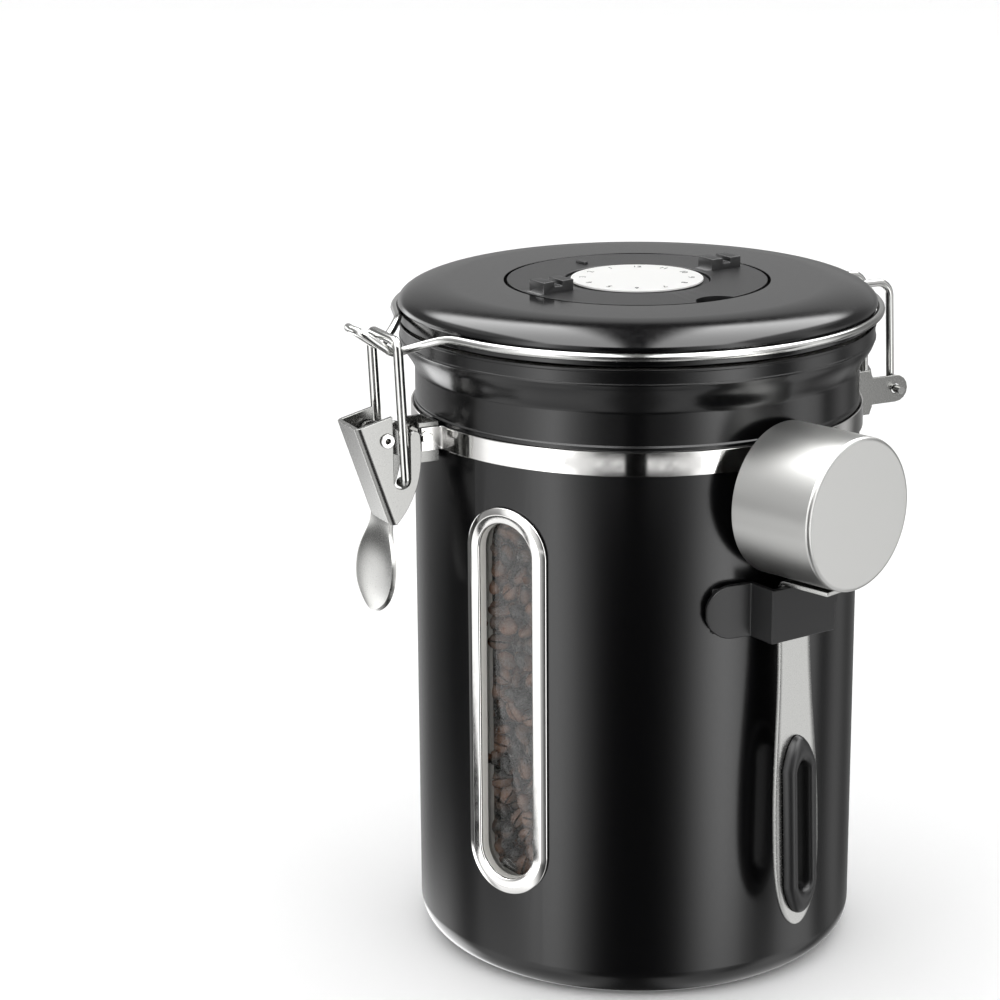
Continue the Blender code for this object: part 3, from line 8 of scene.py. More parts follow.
# %% Load the frame
import math
import random

import bmesh
import bpy
from mathutils import Matrix, Vector


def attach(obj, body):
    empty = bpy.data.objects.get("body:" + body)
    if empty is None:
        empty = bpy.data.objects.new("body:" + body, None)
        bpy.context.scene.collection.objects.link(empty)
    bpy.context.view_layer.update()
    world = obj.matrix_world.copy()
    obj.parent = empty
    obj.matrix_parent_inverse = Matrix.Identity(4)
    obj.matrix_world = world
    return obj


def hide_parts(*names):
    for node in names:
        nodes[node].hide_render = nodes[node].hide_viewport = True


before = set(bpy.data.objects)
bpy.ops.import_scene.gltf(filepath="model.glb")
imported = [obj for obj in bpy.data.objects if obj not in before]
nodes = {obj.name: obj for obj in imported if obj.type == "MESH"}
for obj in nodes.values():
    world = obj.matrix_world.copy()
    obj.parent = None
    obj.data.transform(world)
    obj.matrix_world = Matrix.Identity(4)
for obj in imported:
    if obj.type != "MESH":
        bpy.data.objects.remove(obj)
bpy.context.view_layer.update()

# %% [markdown]
# ## Places
#
# The canister stands on its base's centre, with +Z up and the latch at -Y. Places on the round body are
# given by a radius, an azimuth turned from the latch towards the scoop, and a height. Lengths are written
# in millimetres, times MM or inside mm(), so that a number can be set against a drawing.

# %% Places on the round body
MM = 0.001
ROUND_STEPS = 144
BEND_STEPS = 6
CLEAR = 0.3 * MM
DOUBLE = 0.001 * MM


def mm(*lengths):
    """Lengths in millimetres, turned to metres."""
    return tuple(length * MM for length in lengths)


def on_round(radius, azimuth, height, across=0):
    """A place straight out along an azimuth, and then sideways."""
    side = Vector((math.cos(azimuth), math.sin(azimuth), 0))
    return Vector((radius * math.sin(azimuth), -radius * math.cos(azimuth), height)) + side * across


def in_front(out, height, x=0):
    return Vector((x, -out, height))


def at_back(out, height, x=0):
    return Vector((x, out, height))


print("latch at", tuple(in_front(60 * MM, 0)), "hinge at", tuple(at_back(60 * MM, 0)))

# %% [markdown]
# ## Working as by hand
#
# An operator acts on everything that is selected, and the frame arrives selected. So each step first
# deselects all, then takes one piece. In edit mode, edges are chosen by where they are.

# %% Taking and picking
def deselect():
    bpy.ops.object.select_all(action="DESELECT")


def take(piece):
    deselect()
    piece.select_set(True)
    bpy.context.view_layer.objects.active = piece
    return piece


def edit(piece, element="VERT"):
    take(piece)
    bpy.ops.object.mode_set(mode="EDIT")
    bpy.ops.mesh.select_mode(type=element)
    bpy.ops.mesh.select_all(action="DESELECT")


def pick_edges(piece, test):
    """Selects the edges of a piece in edit mode that pass a test on their middle and their direction."""
    shape = bmesh.from_edit_mesh(piece.data)
    chosen = 0
    for edge in shape.edges:
        first, second = (vert.co for vert in edge.verts)
        if test((first + second) / 2, (second - first).normalized()):
            edge.select_set(True)
            chosen += 1
    bmesh.update_edit_mesh(piece.data)
    return chosen


def close_edit(piece):
    """Merges doubles, turns the faces out and goes back to object mode."""
    bpy.ops.mesh.select_all(action="SELECT")
    bpy.ops.mesh.remove_doubles(threshold=DOUBLE)
    bpy.ops.mesh.normals_make_consistent(inside=False)
    bpy.ops.object.mode_set(mode="OBJECT")
    return settle(piece)


def settle(piece):
    """Puts a piece's place into its mesh, so that its object sits at the origin."""
    take(piece)
    bpy.ops.object.transform_apply(location=True, rotation=True, scale=True)
    return piece


def change(piece, kind, **settings):
    """Adds a modifier with its settings and applies it."""
    take(piece)
    step = piece.modifiers.new(kind.lower(), kind)
    for name, value in settings.items():
        setattr(step, name, value)
    bpy.ops.object.modifier_apply(modifier=step.name)
    return piece


def cut(piece, tool, operation="DIFFERENCE"):
    """Cuts a tool from a piece, or joins it on, and takes the tool away."""
    change(piece, "BOOLEAN", object=tool, operation=operation, solver="EXACT")
    bpy.data.objects.remove(tool)
    return piece


def drill(piece, radius, depth, place, rotation=(0, 0, 0), vertices=48):
    """Cuts a round hole with a cylinder whose middle is at a place."""
    deselect()
    bpy.ops.mesh.primitive_cylinder_add(vertices=vertices, radius=radius, depth=depth, location=place,
                                        rotation=rotation)
    return cut(piece, settle(bpy.context.object))


def soften_edges(piece, width, segments=3, angle=30):
    """Rounds every edge sharper than an angle, as sheet metal and mouldings have it."""
    return change(piece, "BEVEL", width=width, segments=segments, limit_method="ANGLE",
                  angle_limit=math.radians(angle), harden_normals=False, miter_outer="MITER_ARC")


def shade(piece, angle=35, flat_faces=False):
    """Smooth shading below an angle. On sheet metal the large faces then rule the shading."""
    take(piece)
    bpy.ops.object.shade_smooth_by_angle(angle=math.radians(angle))
    if flat_faces:
        change(piece, "WEIGHTED_NORMAL", weight=80, keep_sharp=True)
    return piece


print("helpers ready")

# %% [markdown]
# ## Lines, turned pieces and skins
#
# A round part is a drawn line, spun about the canister's axis: one point is extruded from place to place,
# as by hand, then Spin makes the round. Corners are rounded in the line, so that no edge is knife sharp.
# A frame or a strip that follows the round wall isn't round itself. It is skinned from rows of points.

# %% Drawing and turning
def rounded(before, corner, after, radius, steps=BEND_STEPS):
    """Points round a corner between two others, in a plane or in space."""
    back = (before - corner).normalized()
    ahead = (after - corner).normalized()
    half = back.angle(ahead) / 2
    centre = corner + (back + ahead).normalized() * radius / math.sin(half)
    start = corner + back * radius / math.tan(half) - centre
    end = corner + ahead * radius / math.tan(half) - centre
    return [centre + start.lerp(end, step / steps).normalized() * radius for step in range(steps + 1)]


def eased(corners, closed=False):
    """Rounds the corners of a line. A corner is (first, second, its radius)."""
    path = []
    spots = [Vector(corner[:2]) for corner in corners]
    for index, (spot, corner) in enumerate(zip(spots, corners)):
        if corner[2] == 0 or (not closed and index in (0, len(corners) - 1)):
            path.append(spot)
        else:
            path += rounded(spots[index - 1], spot, spots[(index + 1) % len(spots)], corner[2])
    return path


def draw(name, points, closed=False):
    """Draws a line in edit mode by extruding one point, and leaves edit mode open."""
    deselect()
    bpy.ops.mesh.primitive_plane_add(size=MM, location=points[0])
    piece = bpy.context.object
    piece.name = name
    bpy.ops.object.mode_set(mode="EDIT")
    bpy.ops.mesh.select_mode(type="VERT")
    bpy.ops.mesh.select_all(action="SELECT")
    bpy.ops.mesh.merge(type="CENTER")
    track = list(points) + ([points[0]] if closed else [])
    for here, there in zip(track, track[1:]):
        bpy.ops.mesh.extrude_region_move(TRANSFORM_OT_translate={"value": there - here})
    bpy.ops.mesh.select_all(action="SELECT")
    return piece


def turned(name, profile, steps=ROUND_STEPS):
    """Spins a line of (radius, height) corners round the Z axis. It closes unless it starts on the axis."""
    open_line = profile[0][0] == 0
    line = [Vector((spot[0], 0, spot[1])) for spot in eased(profile, closed=not open_line)]
    piece = draw(name, line, closed=not open_line)
    bpy.ops.mesh.spin(steps=steps, angle=math.tau, center=(0, 0, 0), axis=(0, 0, 1))
    return shade(close_edit(piece), flat_faces=True)


# %% Skinning and walls
def linked(name, data):
    """An object in the scene for a mesh, a curve, a lamp or a camera."""
    item = bpy.data.objects.new(name, data)
    bpy.context.scene.collection.objects.link(item)
    return item


def built(name, points, faces):
    """A piece made from its points and faces."""
    mesh = bpy.data.meshes.new(name)
    mesh.from_pydata(points, [], faces)
    return linked(name, mesh)


def skinned(name, rows, closed=False):
    """Skins rows of points, each with the same number of points. A closed skin meets itself both ways."""
    width = len(rows[0])
    faces = []
    for row in range(len(rows) if closed else len(rows) - 1):
        after = (row + 1) % len(rows)
        for column in range(width if closed else width - 1):
            beside = (column + 1) % width
            faces.append((row * width + column, row * width + beside,
                          after * width + beside, after * width + column))
    return built(name, [tuple(spot) for row in rows for spot in row], faces)


def closed_skin(name, rows, angle):
    """A closed skin with its faces turned out, shaded smooth below an angle."""
    piece = skinned(name, rows, closed=True)
    edit(piece)
    return shade(close_edit(piece), angle)


def walled(piece, thickness):
    """Gives a skin its wall, half on each side."""
    return change(piece, "SOLIDIFY", thickness=thickness, offset=0, use_even_offset=True,
                  use_quality_normals=True)


def prism(name, outline, place, start, end):
    """Draws an outline, fills it and extrudes it from one side to the other."""
    near = [place(first, second, start) for first, second in outline]
    piece = draw(name, near, closed=True)
    bpy.ops.mesh.remove_doubles(threshold=DOUBLE)
    bpy.ops.mesh.edge_face_add()
    way = place(*outline[0], end) - near[0]
    bpy.ops.mesh.extrude_region_move(TRANSFORM_OT_translate={"value": way})
    return close_edit(piece)


# %% Outlines and wire
def arc(centre, radius, start, end, steps=BEND_STEPS):
    """Points on an arc, from one angle to another."""
    angles = [start + (end - start) * step / steps for step in range(steps + 1)]
    return [(centre[0] + radius * math.cos(a), centre[1] + radius * math.sin(a)) for a in angles]


def stadium(half_width, half_length, steps=20):
    """A slot's outline: two straight sides and two half-round ends."""
    straight = half_length - half_width
    return arc((0, straight), half_width, 0, math.pi, steps) \
        + arc((0, -straight), half_width, math.pi, math.tau, steps)


def wire(name, points, radius):
    """A round wire along a path, made as a bevelled curve and turned to a mesh."""
    line = bpy.data.curves.new(name, "CURVE")
    line.dimensions = "3D"
    line.bevel_depth = radius
    line.bevel_resolution = 6
    line.use_fill_caps = True
    spline = line.splines.new("POLY")
    spline.points.add(len(points) - 1)
    for spot, point in zip(spline.points, points):
        spot.co = (*point, 1)
    take(linked(name, line))
    bpy.ops.object.convert(target="MESH")
    piece = bpy.context.object
    edit(piece)
    close_edit(piece)
    return shade(piece, 50)


print("drawing helpers ready")

# %% [markdown]
# ## Finishes
#
# Every finish starts from what the real one is. Colours are picked as sRGB hex values, and one function
# turns them to linear light. One small function adds a node, sets it and links it.

# %% Colour and node helpers
def linear(colour):
    """sRGB hex to linear RGBA."""
    channels = [int(colour[at:at + 2], 16) / 255 for at in (1, 3, 5)]
    return tuple(c / 12.92 if c <= 0.04045 else ((c + 0.055) / 1.055) ** 2.4 for c in channels) + (1,)


def shader_of(material):
    return material.node_tree.nodes["Principled BSDF"]


def finish(name, colour, roughness, **sockets):
    """A named finish with its colour, roughness and other sockets. Returns the material."""
    material = bpy.data.materials.new(name)
    material.use_nodes = True
    shader = shader_of(material)
    shader.inputs["Base Color"].default_value = linear(colour)
    shader.inputs["Roughness"].default_value = roughness
    for socket, value in sockets.items():
        shader.inputs[socket.replace("_", " ")].default_value = value
    return material


def node(material, kind, settings=(), links=(), **inputs):
    """Adds a node: its properties, the sockets that are linked, and the sockets that are set."""
    item = material.node_tree.nodes.new(kind)
    for name, value in dict(settings).items():
        setattr(item, name, value)
    for name, value in inputs.items():
        item.inputs[name.replace("_", " ")].default_value = value
    for socket, source in dict(links).items():
        material.node_tree.links.new(source, item.inputs[socket])
    return item


def grain(material, size, depth, rough_low, rough_high, detail=2):
    """Fine grain of a size in metres: a little relief, and roughness that varies with it."""
    place = node(material, "ShaderNodeTexCoord").outputs["Object"]
    speckle = node(material, "ShaderNodeTexNoise", links={"Vector": place}, Scale=1 / size, Detail=detail)
    relief = node(material, "ShaderNodeBump", links={"Height": speckle.outputs["Fac"]},
                  Strength=1, Distance=depth)
    spread = node(material, "ShaderNodeMapRange", links={"Value": speckle.outputs["Fac"]},
                  From_Min=0.3, From_Max=0.7, To_Min=rough_low, To_Max=rough_high)
    shader = shader_of(material)
    material.node_tree.links.new(relief.outputs["Normal"], shader.inputs["Normal"])
    material.node_tree.links.new(spread.outputs["Result"], shader.inputs["Roughness"])
    return material


print("black #0B0B0C is", [round(c, 4) for c in linear("#0B0B0C")])

# %% [markdown]
# ### Black finishes
#
# The body is steel with a satin powder coat: sprayed powder melts to a skin with a fine orange peel, about
# 0.5 mm across, that blurs reflections. The lid is moulded ABS with a high gloss. The dial ring, the
# holder and the grip are moulded ABS from a fine-eroded mould, so they look soft and a little grey.

# %% Black finishes
POWDER_PEEL, MOULD_WAVE, ERODED_GRAIN = mm(0.5, 2, 0.25)
powder_coat = grain(finish("satin_powder_coat", "#050506", 0.21), POWDER_PEEL, 0.0008 * MM, 0.19, 0.23)
gloss_abs = grain(finish("gloss_abs", "#050506", 0.14), MOULD_WAVE, 0.001 * MM, 0.12, 0.16)
moulded_abs = grain(finish("moulded_abs", "#111112", 0.38), ERODED_GRAIN, 0.003 * MM, 0.33, 0.42)
print("black finishes:", powder_coat.name, gloss_abs.name, moulded_abs.name)

# %% [markdown]
# ### Steel
#
# The band, the window frame, the rivet and the bolt are polished stainless steel, a light warm grey that
# mirrors the room sharply. The wires are drawn steel, a little duller. The lever and the brackets are
# folded from sheet, and their finish is a darker copy of the rolled steel: painted shade. The scoop's
# handle is rolled sheet. The cup is brushed: its scratches are too fine to show one by one, so a fine
# grain blurs what it mirrors.

# %% Steel finishes
POLISH_WAVE, ROLLED_GRAIN, DRAWN_GRAIN, SCRATCH = mm(3, 0.4, 2, 0.15)


def metal(name, colour, roughness, size, depth, rough_low, rough_high, detail=2):
    return grain(finish(name, colour, roughness, Metallic=1), size, depth, rough_low, rough_high, detail)


polished_steel = metal("polished_stainless", "#E3E2E0", 0.10, POLISH_WAVE, 0.001 * MM, 0.07, 0.12)
rolled_steel = metal("rolled_stainless", "#AEAEAC", 0.26, ROLLED_GRAIN, 0.0002 * MM, 0.24, 0.28)
# A darker copy of the rolled steel: painted shade on the lever and the brackets.
shaded_rolled_steel = metal("rolled_steel_shaded", "#8F8F8D", 0.26, ROLLED_GRAIN, 0.0002 * MM, 0.24, 0.28)
drawn_wire = metal("drawn_steel_wire", "#BDBDBB", 0.14, DRAWN_GRAIN, 0.0005 * MM, 0.12, 0.17)
brushed_steel = metal("brushed_stainless", "#C2C2C0", 0.34, SCRATCH, 0.002 * MM, 0.30, 0.40, detail=3)
print("metal finishes:", polished_steel.name, shaded_rolled_steel.name, drawn_wire.name, brushed_steel.name)

# %% [markdown]
# ### Rubber, foam, acrylic, print and coffee
#
# Gaskets are food-grade silicone, milky and matt. The pane is clear acrylic. The disc in the dial is white
# ABS with printed numbers. Roasted beans are dark brown, and a dark roast sweats a little oil, so they
# carry small soft highlights; their colour changes over about the length of a bean.

# %% Other finishes
SILICONE_BLOOM, FOAM_CELL, DISC_GRAIN, INK_GRAIN, ROAST_PATCH, BEAN_PORE = mm(0.6, 0.3, 0.4, 0.2, 6, 0.5)
silicone = grain(finish("silicone_rubber", "#B4B2AD", 0.55), SILICONE_BLOOM, 0.003 * MM, 0.5, 0.6)
foam = grain(finish("foam_rubber", "#1A1A1A", 0.9), FOAM_CELL, 0.02 * MM, 0.85, 0.95)
acrylic = finish("clear_acrylic", "#F4F5F4", 0.03, IOR=1.49, Transmission_Weight=1)
white_abs = grain(finish("white_abs", "#F3F3F1", 0.35), DISC_GRAIN, 0.001 * MM, 0.3, 0.4)
ink = grain(finish("printed_ink", "#1C1C1E", 0.5), INK_GRAIN, 0.001 * MM, 0.45, 0.55)


def roasted_coffee(name):
    """Dark roast: brown that changes over a few millimetres, fine pores and an oily sheen."""
    material = finish(name, "#36241B", 0.3)
    place = node(material, "ShaderNodeTexCoord").outputs["Object"]
    patch = node(material, "ShaderNodeTexNoise", links={"Vector": place}, Scale=1 / ROAST_PATCH, Detail=1)
    tone = node(material, "ShaderNodeValToRGB", links={"Fac": patch.outputs["Fac"]})
    for stop, position, colour in zip(tone.color_ramp.elements, (0.42, 0.66), ("#120B08", "#6E4C38")):
        stop.position = position
        stop.color = linear(colour)
    material.node_tree.links.new(tone.outputs["Color"], shader_of(material).inputs["Base Color"])
    return grain(material, BEAN_PORE, 0.02 * MM, 0.18, 0.34, detail=4)


coffee = roasted_coffee("roasted_coffee")
print("other finishes:", silicone.name, acrylic.name, coffee.name)

# %% [markdown]
# ## Dressing a piece
#
# Each piece gets its finish, rides on the body it moves with and says which CAD nodes it stands for.

# %% Dressing
def dress(piece, material, body, slot, *replaced):
    piece.data.materials.clear()
    piece.data.materials.append(material)
    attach(piece, body)
    if replaced:
        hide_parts(*replaced)
    print(piece.name, len(piece.data.polygons), "faces")
    return piece


def joined(name, pieces):
    """Joins pieces into one object."""
    take(pieces[0])
    for piece in pieces:
        piece.select_set(True)
    bpy.ops.object.join()
    pieces[0].name = name
    return pieces[0]


# %% [markdown]
# ## The body
#
# The real body is drawn from one sheet: a flat base with a rounded corner, a straight wall, a small step at
# the neck, a flare, a collar between two rolled beads and a turned-in rim. Its section is drawn as one
# closed line, out along the outside and back along the inside, and spun. The window's opening is then cut
# with a prism.

# %% Body
BODY_RADIUS, BODY_HEIGHT, WALL, NECK_RADIUS = mm(60, 151.2, 0.8, 59.6)
FLARE_START, COLLAR_RADIUS, COLLAR_START, RIM_HEIGHT, RIM_LAND = mm(159.2, 63.5, 167.2, 171.7, 3.2)
BEAD, BEAD_ROUND, BASE_CORNER, NECK_SLOPE = mm(0.22, 0.1, 8, 0.4)
FLARE_STEPS = 10


def flare(inset):
    """The flare's gentle S from the neck out to the collar."""
    points = []
    for step in range(1, FLARE_STEPS):
        share = step / FLARE_STEPS
        ease = share * share * (3 - 2 * share) * 0.75 + share * 0.25
        points.append((NECK_RADIUS + (COLLAR_RADIUS - NECK_RADIUS) * ease - inset,
                       FLARE_START + (COLLAR_START - FLARE_START) * share, 0))
    return points


def base_corner(radius, start, end, steps):
    """The rounded corner between the base and the wall."""
    centre = (BODY_RADIUS - BASE_CORNER, BASE_CORNER)
    return [(*spot, 0) for spot in arc(centre, radius, start, end, steps)]


beaded = COLLAR_RADIUS + BEAD
outside = [
    (0, 0, 0), *base_corner(BASE_CORNER, -math.pi / 2, 0, 16),
    (BODY_RADIUS, BODY_HEIGHT - NECK_SLOPE, 0.3 * MM), (NECK_RADIUS, BODY_HEIGHT, 0.2 * MM),
    (NECK_RADIUS, FLARE_START, 0), *flare(0), (COLLAR_RADIUS, COLLAR_START, 0),
    (beaded, COLLAR_START + BEAD, BEAD_ROUND), (beaded, COLLAR_START + BEAD * 3, BEAD_ROUND),
    (COLLAR_RADIUS, COLLAR_START + BEAD * 4, 0), (COLLAR_RADIUS, RIM_HEIGHT - BEAD * 4, 0),
    (beaded, RIM_HEIGHT - BEAD * 3, BEAD_ROUND), (beaded, RIM_HEIGHT, 0.2 * MM),
    (COLLAR_RADIUS - RIM_LAND, RIM_HEIGHT, 0.3 * MM)]
inside = [
    (COLLAR_RADIUS - RIM_LAND, RIM_HEIGHT - WALL, 0.3 * MM),
    (COLLAR_RADIUS - WALL, RIM_HEIGHT - WALL, 0.3 * MM), (COLLAR_RADIUS - WALL, COLLAR_START, 0),
    *reversed(flare(WALL)), (NECK_RADIUS - WALL, FLARE_START, 0), (NECK_RADIUS - WALL, BODY_HEIGHT, 0),
    (BODY_RADIUS - WALL, BODY_HEIGHT - NECK_SLOPE, 0),
    *base_corner(BASE_CORNER - WALL, 0, -math.pi / 2, 12), (0, WALL, 0)]
body = turned("canister_body", outside + inside)

# %% Opening for the window
OPENING_MARGIN = 1.1 * MM

WINDOW_AZIMUTH = math.radians(27.3)
WINDOW_HEIGHT, WINDOW_HALF_WIDTH, WINDOW_HALF_LENGTH = mm(79.4, 8.25, 48.85)


def through_window(across, along, out):
    return on_round(out, WINDOW_AZIMUTH, WINDOW_HEIGHT + along, across)


def on_window(across, along, out):
    """A place on the wall round the window's middle, at a height above the wall."""
    return on_round(BODY_RADIUS + out, WINDOW_AZIMUTH + across / BODY_RADIUS, WINDOW_HEIGHT + along)


opening = stadium(WINDOW_HALF_WIDTH + OPENING_MARGIN, WINDOW_HALF_LENGTH + OPENING_MARGIN)
cut(body, prism("window_opening", opening, through_window, *mm(40, 64)))
dress(shade(body, flat_faces=True), powder_coat, "canister", "satin_black", "canister_shell")

# %% [markdown]
# ## The window
#
# A polished frame lies on the wall. Its outer edge is rounded, its face is slightly crowned, and it dips
# through the wall in a short collar. It isn't flat but bent like the wall, so its section is carried round
# the slot-shaped outline and laid on the wall point by point. A thin silicone lip lines the collar in the
# same way, as the pale edge of the seal, and the acrylic pane sits behind it.

# %% Window frame and seal lip
OUTLINE_STEPS = 32


def round_the_window(name, section, angle):
    """Carries a section round the opening. A place in it is (distance outwards, height above the wall)."""
    rows = [[on_window(*spot, height)
             for spot in stadium(WINDOW_HALF_WIDTH + width, WINDOW_HALF_LENGTH + width, OUTLINE_STEPS)]
            for width, height in section]
    return closed_skin(name, rows, angle)


bezel_section = eased([mm(*corner) for corner in (
    (0, -1.8, 0), (0, 1.1, 0.55), (2.4, 1.35, 1.5), (4.15, 0.95, 0.45), (4.15, 0.3, 0.1),
    (0.8, 0.3, 0), (0.8, -1.8, 0))], closed=True)
seal_section = [mm(-0.06, 0.35), mm(-0.16, 0.2), mm(-0.16, -1.6), mm(-0.06, -1.6)]
bezel = round_the_window("window_frame", bezel_section, 40)
dress(bezel, polished_steel, "canister", "bright_steel", "window_bezel")
seal = round_the_window("window_seal_lip", seal_section, 50)
dress(seal, silicone, "canister", "silicone")

# %% Window pane
PANE_OUT, PANE_THICKNESS, PANE_MARGIN = mm(-2.4, 1.5, 4)
PANE_COLUMNS = 33
pane_half = WINDOW_HALF_WIDTH + PANE_MARGIN
pane_rows = []
for step in range(PANE_COLUMNS):
    turn = math.pi * (step + 0.5) / PANE_COLUMNS
    reach = WINDOW_HALF_LENGTH - WINDOW_HALF_WIDTH + pane_half * math.sin(turn)
    pane_rows.append([on_window(-pane_half * math.cos(turn), along, PANE_OUT - PANE_THICKNESS / 2)
                      for along in (-reach, reach)])
pane = walled(skinned("window_pane_clear", pane_rows), PANE_THICKNESS)
dress(shade(pane), acrylic, "canister", "clear_plastic", "window_pane")
pane.visible_shadow = False

# %% [markdown]
# ## The neck band
#
# A polished strip clamps round the neck, with both ends turned out beside the latch. The strip's section
# has rolled edges, which catch thin bright lines.

# %% Neck band
BAND_TOP, BAND_BOTTOM, BAND_THICKNESS, EAR_X = mm(149.8, 143.6, 0.5, 5.15)
EAR_LENGTH, EAR_BEND, BAND_EDGE = mm(6.0, 1, 0.18)
band_middle = BODY_RADIUS + CLEAR + BAND_THICKNESS / 2
band_start = math.asin(EAR_X / band_middle)
band_turns = [band_start + (math.tau - band_start * 2) * step / ROUND_STEPS
              for step in range(ROUND_STEPS + 1)]
corner_out = band_middle * math.cos(band_start)
band_path = [in_front(corner_out + EAR_LENGTH, 0, EAR_X), in_front(corner_out + EAR_BEND, 0, EAR_X),
             *(on_round(band_middle, turn, 0) for turn in band_turns),
             in_front(corner_out + EAR_BEND, 0, -EAR_X), in_front(corner_out + EAR_LENGTH, 0, -EAR_X)]
band_rows = [[spot + Vector((0, 0, height)) for height in (BAND_BOTTOM, BAND_TOP)] for spot in band_path]
band = walled(skinned("neck_clamp_band", band_rows), BAND_THICKNESS)
soften_edges(band, BAND_EDGE, 2, 60)
dress(shade(band, flat_faces=True), polished_steel, "canister", "bright_steel", "neck_band")

# %% [markdown]
# ## The lid
#
# The lid is one glossy moulding: a flat top that rolls over at the edge, a groove for the wire, a lip that
# meets the rim, and a round recess for the dial. It is turned from one line like the body.

# %% Lid
LID_TOP, LID_RADIUS, LID_FLAT, LID_ROLL = mm(182, 64, 50, 5.5)
RECESS_RADIUS = 35.6 * MM
RECESS_FLOOR = LID_TOP - 3.8 * MM
RECESS_WALL, LID_WALL, LIP_RADIUS, LIP_BOTTOM = mm(1, 1.2, 63.5, 172.4)
HUB_RADIUS, SOCKET_RADIUS, SOCKET_BOTTOM = mm(11.7, 15, 171.1)
ROLL_STEPS = 20


def roll(inset):
    """The rolled edge, from the flat top down to the widest place."""
    points = []
    for step in range(ROLL_STEPS + 1):
        turn = math.pi / 2 * (1 - step / ROLL_STEPS)
        points.append((LID_FLAT + (LID_RADIUS - LID_FLAT - inset) * math.cos(turn),
                       LID_TOP - LID_ROLL + (LID_ROLL - inset) * math.sin(turn), 0))
    return points


lid_foot = LID_TOP - LID_ROLL
lid_line = [
    (HUB_RADIUS + CLEAR, RECESS_FLOOR, 0), (RECESS_RADIUS, RECESS_FLOOR, 0.2 * MM),
    (RECESS_RADIUS, LID_TOP - 0.1 * MM, 0), (RECESS_RADIUS + 0.15 * MM, LID_TOP, 0), *roll(0),
    (LIP_RADIUS, lid_foot - 0.5 * MM, 0.2 * MM), (LIP_RADIUS, LIP_BOTTOM, 0.3 * MM),
    (LIP_RADIUS - LID_WALL, LIP_BOTTOM, 0.3 * MM), (LIP_RADIUS - LID_WALL, lid_foot - LID_WALL, 0),
    *roll(LID_WALL)[-4::-1], (RECESS_RADIUS + LID_WALL, LID_TOP - LID_WALL, 0),
    (RECESS_RADIUS + LID_WALL, RECESS_FLOOR - RECESS_WALL, 0),
    (SOCKET_RADIUS, RECESS_FLOOR - RECESS_WALL, 0), (SOCKET_RADIUS, SOCKET_BOTTOM, 0),
    (HUB_RADIUS + CLEAR, SOCKET_BOTTOM, 0)]
lid = turned("lid_moulding", lid_line)
dress(lid, gloss_abs, "lid", "gloss_black", "lid_shell")

# %% [markdown]
# ## The dial
#
# A matt ring turns in the lid's recess, with a dark gap round it. Two finger tabs stand on it, each with a
# valley between two ridges. A small pointer ridge and a finger notch in its edge help to set it. In the
# middle a white disc carries plain numbers.

# %% Dial ring
DIAL_RADIUS = 34.7 * MM
DIAL_BOTTOM = RECESS_FLOOR + CLEAR
DIAL_HOLE = 16.5 * MM
WELL_RADIUS = 19.6 * MM
WELL_FLOOR = DIAL_BOTTOM + 1.4 * MM
NOTCH_AZIMUTH = math.radians(97)
NOTCH_OUT, NOTCH_RADIUS, NOTCH_DEPTH, NOTCH_RISE = mm(36.2, 6.2, 9, 0.6)
dial = turned("dial_turning_ring", [
    (DIAL_HOLE, DIAL_BOTTOM, 0), (DIAL_RADIUS, DIAL_BOTTOM, 0.2 * MM), (DIAL_RADIUS, LID_TOP, 0.06 * MM),
    (WELL_RADIUS, LID_TOP, 0.35 * MM), (WELL_RADIUS, WELL_FLOOR, 0), (DIAL_HOLE, WELL_FLOOR, 0)])
drill(dial, NOTCH_RADIUS, NOTCH_DEPTH, on_round(NOTCH_OUT, NOTCH_AZIMUTH, LID_TOP + NOTCH_RISE))

# %% Tabs and pointer ridge
TAB_NEAR, TAB_FAR, TAB_RIDGE, TAB_HALF_WIDTH = mm(22.8, 32.4, 3.6, 3.3)
TAB_RISE, VALLEY_RISE, SUNK = mm(3, 1.6, 1)


def stand_on_dial(name, azimuth, side_view, half_width, edge, segments):
    """Joins a block on the ring, from its side view of (distance from the axis, height over the ring)."""
    def place(out, rise, across):
        return on_round(out, math.radians(azimuth), LID_TOP + rise, across)

    block = soften_edges(prism(name, side_view, place, -half_width, half_width), edge, segments)
    cut(dial, block, "UNION")


tab_view = [(TAB_NEAR, -SUNK), (TAB_FAR, -SUNK), (TAB_FAR, TAB_RISE), (TAB_FAR - TAB_RIDGE, TAB_RISE),
            (TAB_FAR - TAB_RIDGE, VALLEY_RISE), (TAB_NEAR + TAB_RIDGE, VALLEY_RISE),
            (TAB_NEAR + TAB_RIDGE, TAB_RISE), (TAB_NEAR, TAB_RISE)]
ridge_view = [mm(23.7, -1), mm(27.7, -1), mm(27.7, 0.8), mm(23.7, 0.8)]
for azimuth in (7, 187):
    stand_on_dial("dial_tab", azimuth, tab_view, TAB_HALF_WIDTH, 0.25 * MM, 3)
stand_on_dial("dial_ridge", 277, ridge_view, 0.7 * MM, 0.2 * MM, 2)
dress(shade(dial), moulded_abs, "dial", "moulded_black", "dial_ring")

# %% Disc and its numbers
HUB_FLANGE = 1.2 * MM
DISC_RADIUS = 17.7 * MM
DISC_BOTTOM = WELL_FLOOR + CLEAR + HUB_FLANGE + CLEAR
DISC_TOP = DISC_BOTTOM + 0.6 * MM
NUMBER_TURN = math.radians(61)
NUMBER_RADIUS, NUMBER_SIZE, INK_DEPTH, INK_LIFT = mm(14.4, 2.6, 0.02, 0.03)
disc = turned("number_disc", [(0, DISC_BOTTOM, 0), (DISC_RADIUS, DISC_BOTTOM, 0.1 * MM),
                              (DISC_RADIUS, DISC_TOP, 0.2 * MM), (0, DISC_TOP, 0)])
dress(disc, white_abs, "lid", "white_plastic", "date_disc")

